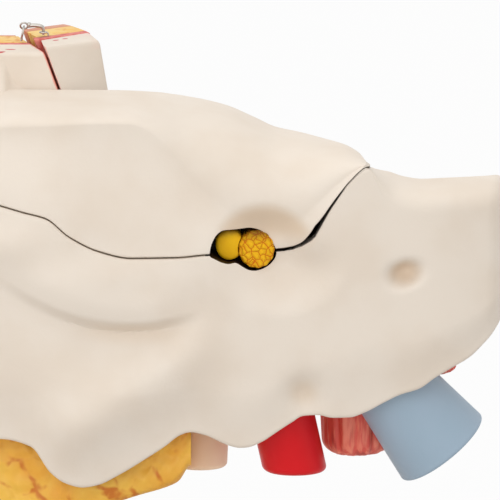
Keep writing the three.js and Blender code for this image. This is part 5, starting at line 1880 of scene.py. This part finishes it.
@dataclass
class MiddleEar(Section):
    """The eardrum and the three ossicles, which draw out together."""

    radius: float = 9.0
    cone: float = 2.0
    thickness: float = 1.0

    def build(self) -> None:
        """Build the drum and dress the ossicles with softened forms of their own."""
        shop, cone, thick, r = self.shop, self.cone, self.thickness, self.radius
        share = np.linspace(0.03, 1, 24)
        lift = -cone * (1 - share**1.35)
        front = [(r * u, h) for u, h in zip(share, lift)]
        back = [(r * u, h - thick) for u, h in zip(share, lift)][::-1]
        start, ahead = self.form.canal.vector(0, 0, 0), self.form.canal.vector(1, 0, 0)
        outline = [*back[:-1], (r * 0.03, -cone - thick), *front]
        drum = shop.turned("eardrum_membrane", outline, start, ahead, 96)
        shop.dress(drum, DRUM, Body.OSSICLES, "eardrum", ["eardrum"])
        for name, node in (("malleus_bone", "malleus"), ("incus_bone", "incus"), ("stapes_bone", "stapes")):
            voxel = 0.12 if node == "stapes" else 0.2
            shop.dress(shop.softened(name, node, voxel, 8), OSSICLE, Body.OSSICLES, "ossicle", [node], 80)


@dataclass
class EarCanal(Section):
    """The half-open ear canal with its lining, cartilage and fat, and the plate of head skin."""

    bore: float = 7.0
    lining: float = 1.2
    cartilage: float = 3.2
    start: float = 9.0
    length: float = 88.0
    mouth: float = 8.0

    def _half_tube(self, name: str, inner: float, outer: float) -> Piece:
        """Make the half of a tube that stays on the kept side of the section plane.

        Args:
            name: The object's name.
            inner: Its inner radius.
            outer: Its outer radius.

        Returns:
            The new object.
        """
        angle = np.linspace(0, np.pi, 49)
        flat = [(outer * math.cos(a), outer * math.sin(a)) for a in angle]
        flat += [(inner * math.cos(a), inner * math.sin(a)) for a in angle[::-1]]
        steps = np.linspace(self.start, self.length, 60)
        rings = [[(t, s, h) for h, s in flat] for t in steps]
        return self.shop.loft(name, self.form.canal.place(rings))

    def _in_line(self, x: float, y: float) -> Pair:
        """Return the canal's t and s for a plan point.

        Args:
            x: The point's x.
            y: Its y.

        Returns:
            The two distances.
        """
        cos, sin = math.cos(self.form.canal.angle), math.sin(self.form.canal.angle)
        dx, dy = x - self.form.canal.x, y - self.form.canal.y
        return cos * dx + sin * dy, -sin * dx + cos * dy

    def build(self) -> None:
        """Build the canal's walls, fat and skin plate."""
        shop, line = self.shop, self.form.canal
        outer = self.bore + self.lining
        edge = outer + CLEARANCE + self.cartilage
        lining = self._half_tube("canal_skin_lining", self.bore, outer)
        shop.dress(lining, SKIN, Body.STAND, "skin", ["canal_lining"])
        wall = self._half_tube("canal_cartilage_wall", outer + CLEARANCE, edge)
        shop.dress(wall, CARTILAGE, Body.STAND, "cartilage", ["canal_cartilage"])
        inner = self._in_line(-61.5 - 0.6, 62.6)
        turn = self._in_line(-130, 62.6)
        outline = [(15, 0.2), (self.length, 0.2), (self.length, 40), (turn[0], 40), inner]
        steps = ((84, 0.4), (84.4, 0.0), (142.6, 0.0), (143, 0.4))
        levels = [(z - MEATUS_HEIGHT, inset) for z, inset in steps]
        soft = rounded(outline, 1.0, 4)
        heart = soft.mean(axis=0)
        inward = [(heart - p) / np.linalg.norm(heart - p) for p in soft]
        rings = [[(*(p + way * inset), h) for p, way in zip(soft, inward)] for h, inset in levels]
        fat = shop.loft("canal_fat_body", line.place(rings))
        shop.carved(fat, [line.rod(shop, "canal_hole", edge + CLEARANCE, (0, 120), 96)])
        shop.dress(fat, FAT, Body.STAND, "fat", ["canal_fat"])
        low, high = (z - MEATUS_HEIGHT for z in (74, 170))
        corners = [(-16, low), (50, low), (50, high), (-16, high)]
        near = self.length + CLEARANCE
        rings = []
        for t, inset in ((near, 0.5), (near + 0.5, 0.0), (near + 2.5, 0.0), (near + 3.0, 0.5)):
            moved = [(s + (inset if s < 0 else -inset), h + (inset if h < 0 else -inset)) for s, h in corners]
            rings.append([(t, s, h) for s, h in rounded(moved, 14, 14)])
        plate = shop.loft("head_skin", line.place(rings))
        shop.carved(plate, [line.rod(shop, "mouth_hole", self.mouth, (near - 5, near + 10), 96)])
        shop.dress(plate, SKIN, Body.STAND, "skin", ["head_skin_plate"])


@dataclass
class Auricle(Section):
    """The outer ear, with its helix, antihelix, concha and lobule, round the canal's mouth."""

    seat: float = 91.6
    thickness: float = 7.0
    level: float = 12.6
    rim: float = 5.2
    floor: float = 3.0
    hole: float = 8.0
    furrow: float = 3.6
    antihelix: float = 3.4
    edge: float = 3.0

    def _outline(self, count: int) -> Array:
        """Return the auricle's edge, as canal s and h.

        Args:
            count: The number of points.

        Returns:
            The points.
        """
        points = np.array([
            (16, 70), (38, 64), (54, 46), (61, 20), (57, -8), (47, -32), (36, -54), (25, -74), (12, -89),
            (-2, -92), (-12, -84), (-15, -68), (-14, -50), (-18, -34), (-22, -22), (-24, -8), (-22, 6),
            (-21, 22), (-22, 42), (-16, 58), (-2, 69),
        ], float)
        wrapped = at_x(0, points[-3:], points, points[:4])
        line = smooth_line(wrapped, 900)[:, 1:]
        first = np.argmin(np.linalg.norm(line[:450] - points[0], axis=1))
        last = 450 + np.argmin(np.linalg.norm(line[450:] - points[0], axis=1))
        loop = line[first:last]
        return loop[np.linspace(0, len(loop), count, endpoint=False).astype(int)]

    def _relief(self, side: Array, rise: Array, inward: Array) -> Array:
        """Return how far the ear's face stands off its seat.

        Args:
            side: Places across the ear, from the canal's line.
            rise: Heights, from the canal's line.
            inward: How far each place is from the ear's edge.

        Returns:
            The heights over the seat.
        """
        round_canal = spread(side, rise, (13, 1), (24, 25))
        concha = mix(self.floor, self.level, ease(0.34, 1.0, round_canal))
        helix = np.clip(ease(-20, -8, side) + ease(10, 30, rise), 0, 1)
        fold = self.rim * np.exp(-(((inward - 3.6) / 3.0) ** 2))
        fold = fold - self.furrow * np.exp(-(((inward - 10.5) / 3.6) ** 2))
        antihelix = self.antihelix * np.exp(-((((round_canal - 1.13) * 24) / 4.0) ** 2))
        antihelix = antihelix * ease(4, 16, side) * ease(-34, -24, rise)
        upper = 2.8 * dome(side, rise, (27, 40), (6.5, 15)) + 1.6 * dome(side, rise, (10, 33), (11, 4.5))
        flap = 3.2 * dome(side, rise, (-13, -3), (4.5, 8)) + 2.6 * dome(side, rise, (8, -27), (9, 5))
        crus = 3.0 * dome(side, rise, (-2, 15), (11, 4))
        shaped = concha + helix * fold + antihelix + upper + flap + crus
        plain = self.level - 0.6 + 1.2 * dome(side, rise, (8, -76), (14, 14))
        edge = self.edge * (1 - np.sqrt(1 - np.clip(1 - inward / self.edge, 0, 1) ** 2))
        return mix(shaped, plain, ease(-44, -66, rise)) - edge

    def build(self) -> None:
        """Build the auricle."""
        edge = self._outline(260)
        reach = np.linalg.norm(edge, axis=1)
        mouth = self.hole * edge / reach[:, None]
        rings = []
        for u in np.concatenate([np.linspace(0, 0.9, 84, endpoint=False), np.linspace(0.9, 1, 22)]):
            spot = mix(mouth, edge, u)
            height = self._relief(spot[:, 0], spot[:, 1], (1 - u) * (reach - self.hole) * 0.93)
            rings.append(np.column_stack([self.seat + height, spot]))
        for u in np.linspace(0.985, 0, 50):
            height = (self.level + 2.9 - self.thickness) * ease(0.35, 1, u)
            spot = mix(mouth, edge, u)
            rings.append(np.column_stack([np.full(len(edge), self.seat + height), spot]))
        piece = self.shop.loft("auricle_skin", self.form.canal.place(rings), closed=True)
        self.shop.dress(piece, SKIN, Body.STAND, "skin", ["auricle"], 50)


@dataclass
class Stand(Section):
    """The white base plate, pedestal, screws and the three locating pins."""

    middle: Pair = (-60.0, 55.0)
    length: float = 230.0
    width: float = 110.0
    thickness: float = 16.0
    corner: float = 14.0
    edge: float = 3.0
    pedestal: Pair = (-80.0, 36.0)
    column: Pair = (36.0, 30.0)
    flange: float = 10.0
    fat_foot: float = 45.7
    flange_height: float = 5.0
    screw_inset: float = 5.5
    waist: float = 0.14

    def _plate(
        self, name: str, middle: Pair, size: Pair, corner: float,
        low: float, high: float, soft: float,
    ) -> Piece:
        """Make a plate with round corners and softened edges.

        Args:
            name: The object's name.
            middle: Its middle in plan.
            size: Its length and width.
            corner: The radius of its corners.
            low: Its underside.
            high: Its top.
            soft: The rounding of its edges.

        Returns:
            The new object.
        """
        turn = quarter_turn(9)
        levels = [(low + soft * (1 - math.cos(t)), soft * (1 - math.sin(t))) for t in turn]
        levels += [(high - soft * (1 - math.sin(t)), soft * (1 - math.cos(t))) for t in turn]
        rings = []
        angle = quarter_turn(14)
        for z, inset in levels:
            ring = []
            for quarter, (sx, sy) in enumerate(((1, 1), (-1, 1), (-1, -1), (1, -1))):
                for a in angle + quarter * np.pi / 2:
                    x = sx * (size[0] / 2 - corner) + (corner - inset) * math.cos(a)
                    y = sy * (size[1] / 2 - corner) + (corner - inset) * math.sin(a)
                    ring.append((middle[0] + x, middle[1] + y, z))
            rings.append(ring)
        return self.shop.loft(name, rings)

    def build(self) -> None:
        """Build the stand."""
        shop = self.shop
        flange_low = self.thickness + CLEARANCE
        flange_high = flange_low + self.flange_height
        px, py = self.pedestal
        spots = [(px + side * (self.column[0] / 2 + self.flange - self.screw_inset), py) for side in (-1, 1)]

        def hole(tag: str, x: float, y: float) -> Piece:
            """Return the clearance hole of a screw."""
            foot = Vector((x, y, flange_high - 14.4))
            return shop.turned("screw_hole_" + tag, [(2.5, 0), (2.5, 16)], foot, foot + UPWARD, 32)

        size = (self.length, self.width)
        plate = self._plate("base", self.middle, size, self.corner, 0, self.thickness, self.edge)
        shop.carved(plate, [hole(f"base_{i}", *spot) for i, spot in enumerate(spots)])
        shop.dress(plate, STAND, Body.STAND, "stand", ["base_plate"], 50)
        foot = self._plate(
            "pedestal_column", (px, py), (self.column[0] + 2 * self.flange, self.column[1] + self.flange), 8,
            flange_low, flange_high, 1)
        top = self.fat_foot - CLEARANCE
        rings = []
        lower, upper = (flange_high - 2, flange_high + 4), (top - 8, top - 2)
        for z in (*np.linspace(*lower, 14), *np.linspace(*upper, 14), top - 0.4, top):
            grow = 1 - self.waist * min(ease(*lower, z), 1 - ease(*upper, z))
            inset = 0.4 if z == top else 0.0
            wide, deep = np.array(self.column) * grow / 2 - inset
            outline = rounded([(-wide, -deep), (wide, -deep), (wide, deep), (-wide, deep)], 8, 12)
            rings.append([(px + x, py + y, z) for x, y in outline])
        column = shop.loft("column", rings)
        shop.carved(foot, [column], "UNION")
        shop.carved(foot, [hole(f"pedestal_{i}", *spot) for i, spot in enumerate(spots)])
        shop.dress(foot, STAND, Body.STAND, "stand", ["pedestal"], 40)
        for i, (x, y) in enumerate(spots, 1):
            z = flange_high + CLEARANCE
            round_head = [(0.6 + 3.4 * math.cos(b), 0.6 + 1.74 * math.sin(b)) for b in quarter_turn(12)]
            points = [(0.4, -13.4), (1.9, -13.4), (2.2, -13.0), (2.2, 0), (3.8, 0), (4.0, 0.2), *round_head]
            seat = Vector((x, y, z))
            head = shop.turned(f"pedestal_screw_head_{i}", points, seat, seat + UPWARD, 48)
            plan = [(x + dx, y + dy) for dx, dy in ((-5, -0.45), (5, -0.45), (5, 0.45), (-5, 0.45))]
            slot = shop.prism(f"slot_{i}", plan, z + 1.3, z + 4)
            shop.carved(head, [slot])
            shop.dress(head, STEEL, Body.STAND, "steel", [f"pedestal_screw_{i}"], 30)
        for i, (x, y) in enumerate(PIN_SPOTS, 1):
            foot = Vector((x, y, float(self.form.seam(x))))
            tip = [(1.2 + 0.8 * math.cos(b), 3.2 + 0.8 * math.sin(b)) for b in quarter_turn(8)]
            dowel = shop.turned(f"locating_dowel_{i}", [(1.5, -6), (2.0, -5.5), *tip], foot, foot + LIFT, 40)
            shop.dress(dowel, STEEL, Body.STAND, "steel", [f"locating_pin_{i}"], 40)


@dataclass(frozen=True)
class Lamp:
    """A square area lamp that points at the model, in metres and watts."""

    name: str
    place: Place
    size: float
    power: float
    aim: Place = (0.03, 0, 0.12)

    def hang(self) -> None:
        """Add the lamp to the scene."""
        data = bpy.data.lights.new(self.name, "AREA")
        data.size = self.size
        data.energy = self.power
        made = bpy.data.objects.new(self.name, data)
        made.location = self.place
        way = Vector(self.aim) - Vector(self.place)
        made.rotation_euler = way.to_track_quat("-Z", "Y").to_euler()
        bpy.context.scene.collection.objects.link(made)


LAMPS = (
    Lamp("overhead", (-0.2, 0.1, 1.5), 1.6, 3.8),
    Lamp("front_left", (-0.5, -1.9, 0.82), 1.8, 12.0),
    Lamp("far_left", (-1.9, 0.3, 0.6), 1.2, 4.0),
)


@dataclass
class Studio:
    """Camera, lamps, world and the pale floor."""

    target: Place = (0.060, -0.055, 0.130)
    distance: float = 6.5
    elevation: float = 10.5
    lens: float = 1591.2
    fill: float = 0.92
    low_fill: float = 0.68
    floor_white: float = 0.94
    sensor: float = 36
    clip: Pair = (0.05, 30)

    def camera(self) -> None:
        """Place the camera at the photograph's angle."""
        data = bpy.data.cameras.new("camera")
        data.lens = self.lens
        data.sensor_width = self.sensor
        data.clip_start, data.clip_end = self.clip
        made = bpy.data.objects.new("camera", data)
        bpy.context.scene.collection.objects.link(made)
        e = math.radians(self.elevation)
        target = Vector(self.target)
        made.location = target + self.distance * Vector((0, -math.cos(e), math.sin(e)))
        made.rotation_euler = (target - made.location).to_track_quat("-Z", "Y").to_euler()
        bpy.context.scene.camera = made

    def world(self) -> None:
        """Give the world a soft fill that shows white."""
        world = bpy.data.worlds.new("studio")
        bpy.context.scene.world = world
        kit = NodeKit(world)
        spot = kit.node("ShaderNodeTexCoord", output="Generated")
        height = kit.node("ShaderNodeSeparateXYZ", {}, {0: spot}, "Z")
        limits = {"Value": height, "From Min": -0.6, "To Min": self.low_fill, "To Max": self.fill}
        strength = kit.node("ShaderNodeMapRange", {}, limits)
        fill = kit.node("ShaderNodeBackground", {}, {"Color": (1, 0.985, 0.965), "Strength": strength})
        white = kit.node("ShaderNodeBackground", {}, {"Color": (1, 1, 1), "Strength": 1.0})
        both = kit.node("ShaderNodeMixShader", {}, {0: kit.seen_white(), 1: fill, 2: white})
        kit.node("ShaderNodeOutputWorld", {}, {"Surface": both}, None)

    def floor(self) -> None:
        """Lay the floor: pale, with the object's shadow, and near white to the camera."""
        mesh = bpy.data.meshes.new("floor")
        mesh.from_pydata([(-9, -9, 0), (9, -9, 0), (9, 9, 0), (-9, 9, 0)], [], [(0, 1, 2, 3)])
        floor = bpy.data.objects.new("floor", mesh)
        bpy.context.scene.collection.objects.link(floor)
        kit = PaintKit("floor_paper")
        mottle = kit.noise(6.0, 2.0)
        kit.set("Base Color", kit.blend(mottle, (0.62, 0.62, 0.62), (0.6, 0.6, 0.6)))
        kit.set("Roughness", 0.9)
        glow = kit.node("ShaderNodeEmission", {}, {"Strength": 1.0})
        paper = Socket(kit, kit.shader.outputs[0])
        share = kit.seen_white() * self.floor_white
        both = kit.node("ShaderNodeMixShader", {}, {0: share, 1: paper, 2: glow})
        kit.feed(kit.result.inputs["Surface"], both)
        mesh.materials.append(kit.material)

    def build(self) -> None:
        """Set up the camera, lights, world and floor."""
        self.camera()
        for lamp in LAMPS:
            lamp.hang()
        self.world()
        self.floor()
        bpy.context.scene.view_settings.view_transform = "Standard"


def main() -> None:
    """Build the model and its surroundings."""
    logging.basicConfig(level=logging.INFO, format="%(name)s: %(message)s")
    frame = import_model()
    shop = Workshop(frame["nodes"])
    sections = [
        Studio(), Stand(shop), PetrousBone(shop), WallBlocks(shop), Latch(shop), Underside(shop),
        InnerEar(shop), MiddleEar(shop), EarCanal(shop), Auricle(shop),
    ]
    for section in sections:
        LOG.info("building %s", type(section).__name__)
        section.build()


if __name__ == "__main__":
    main()
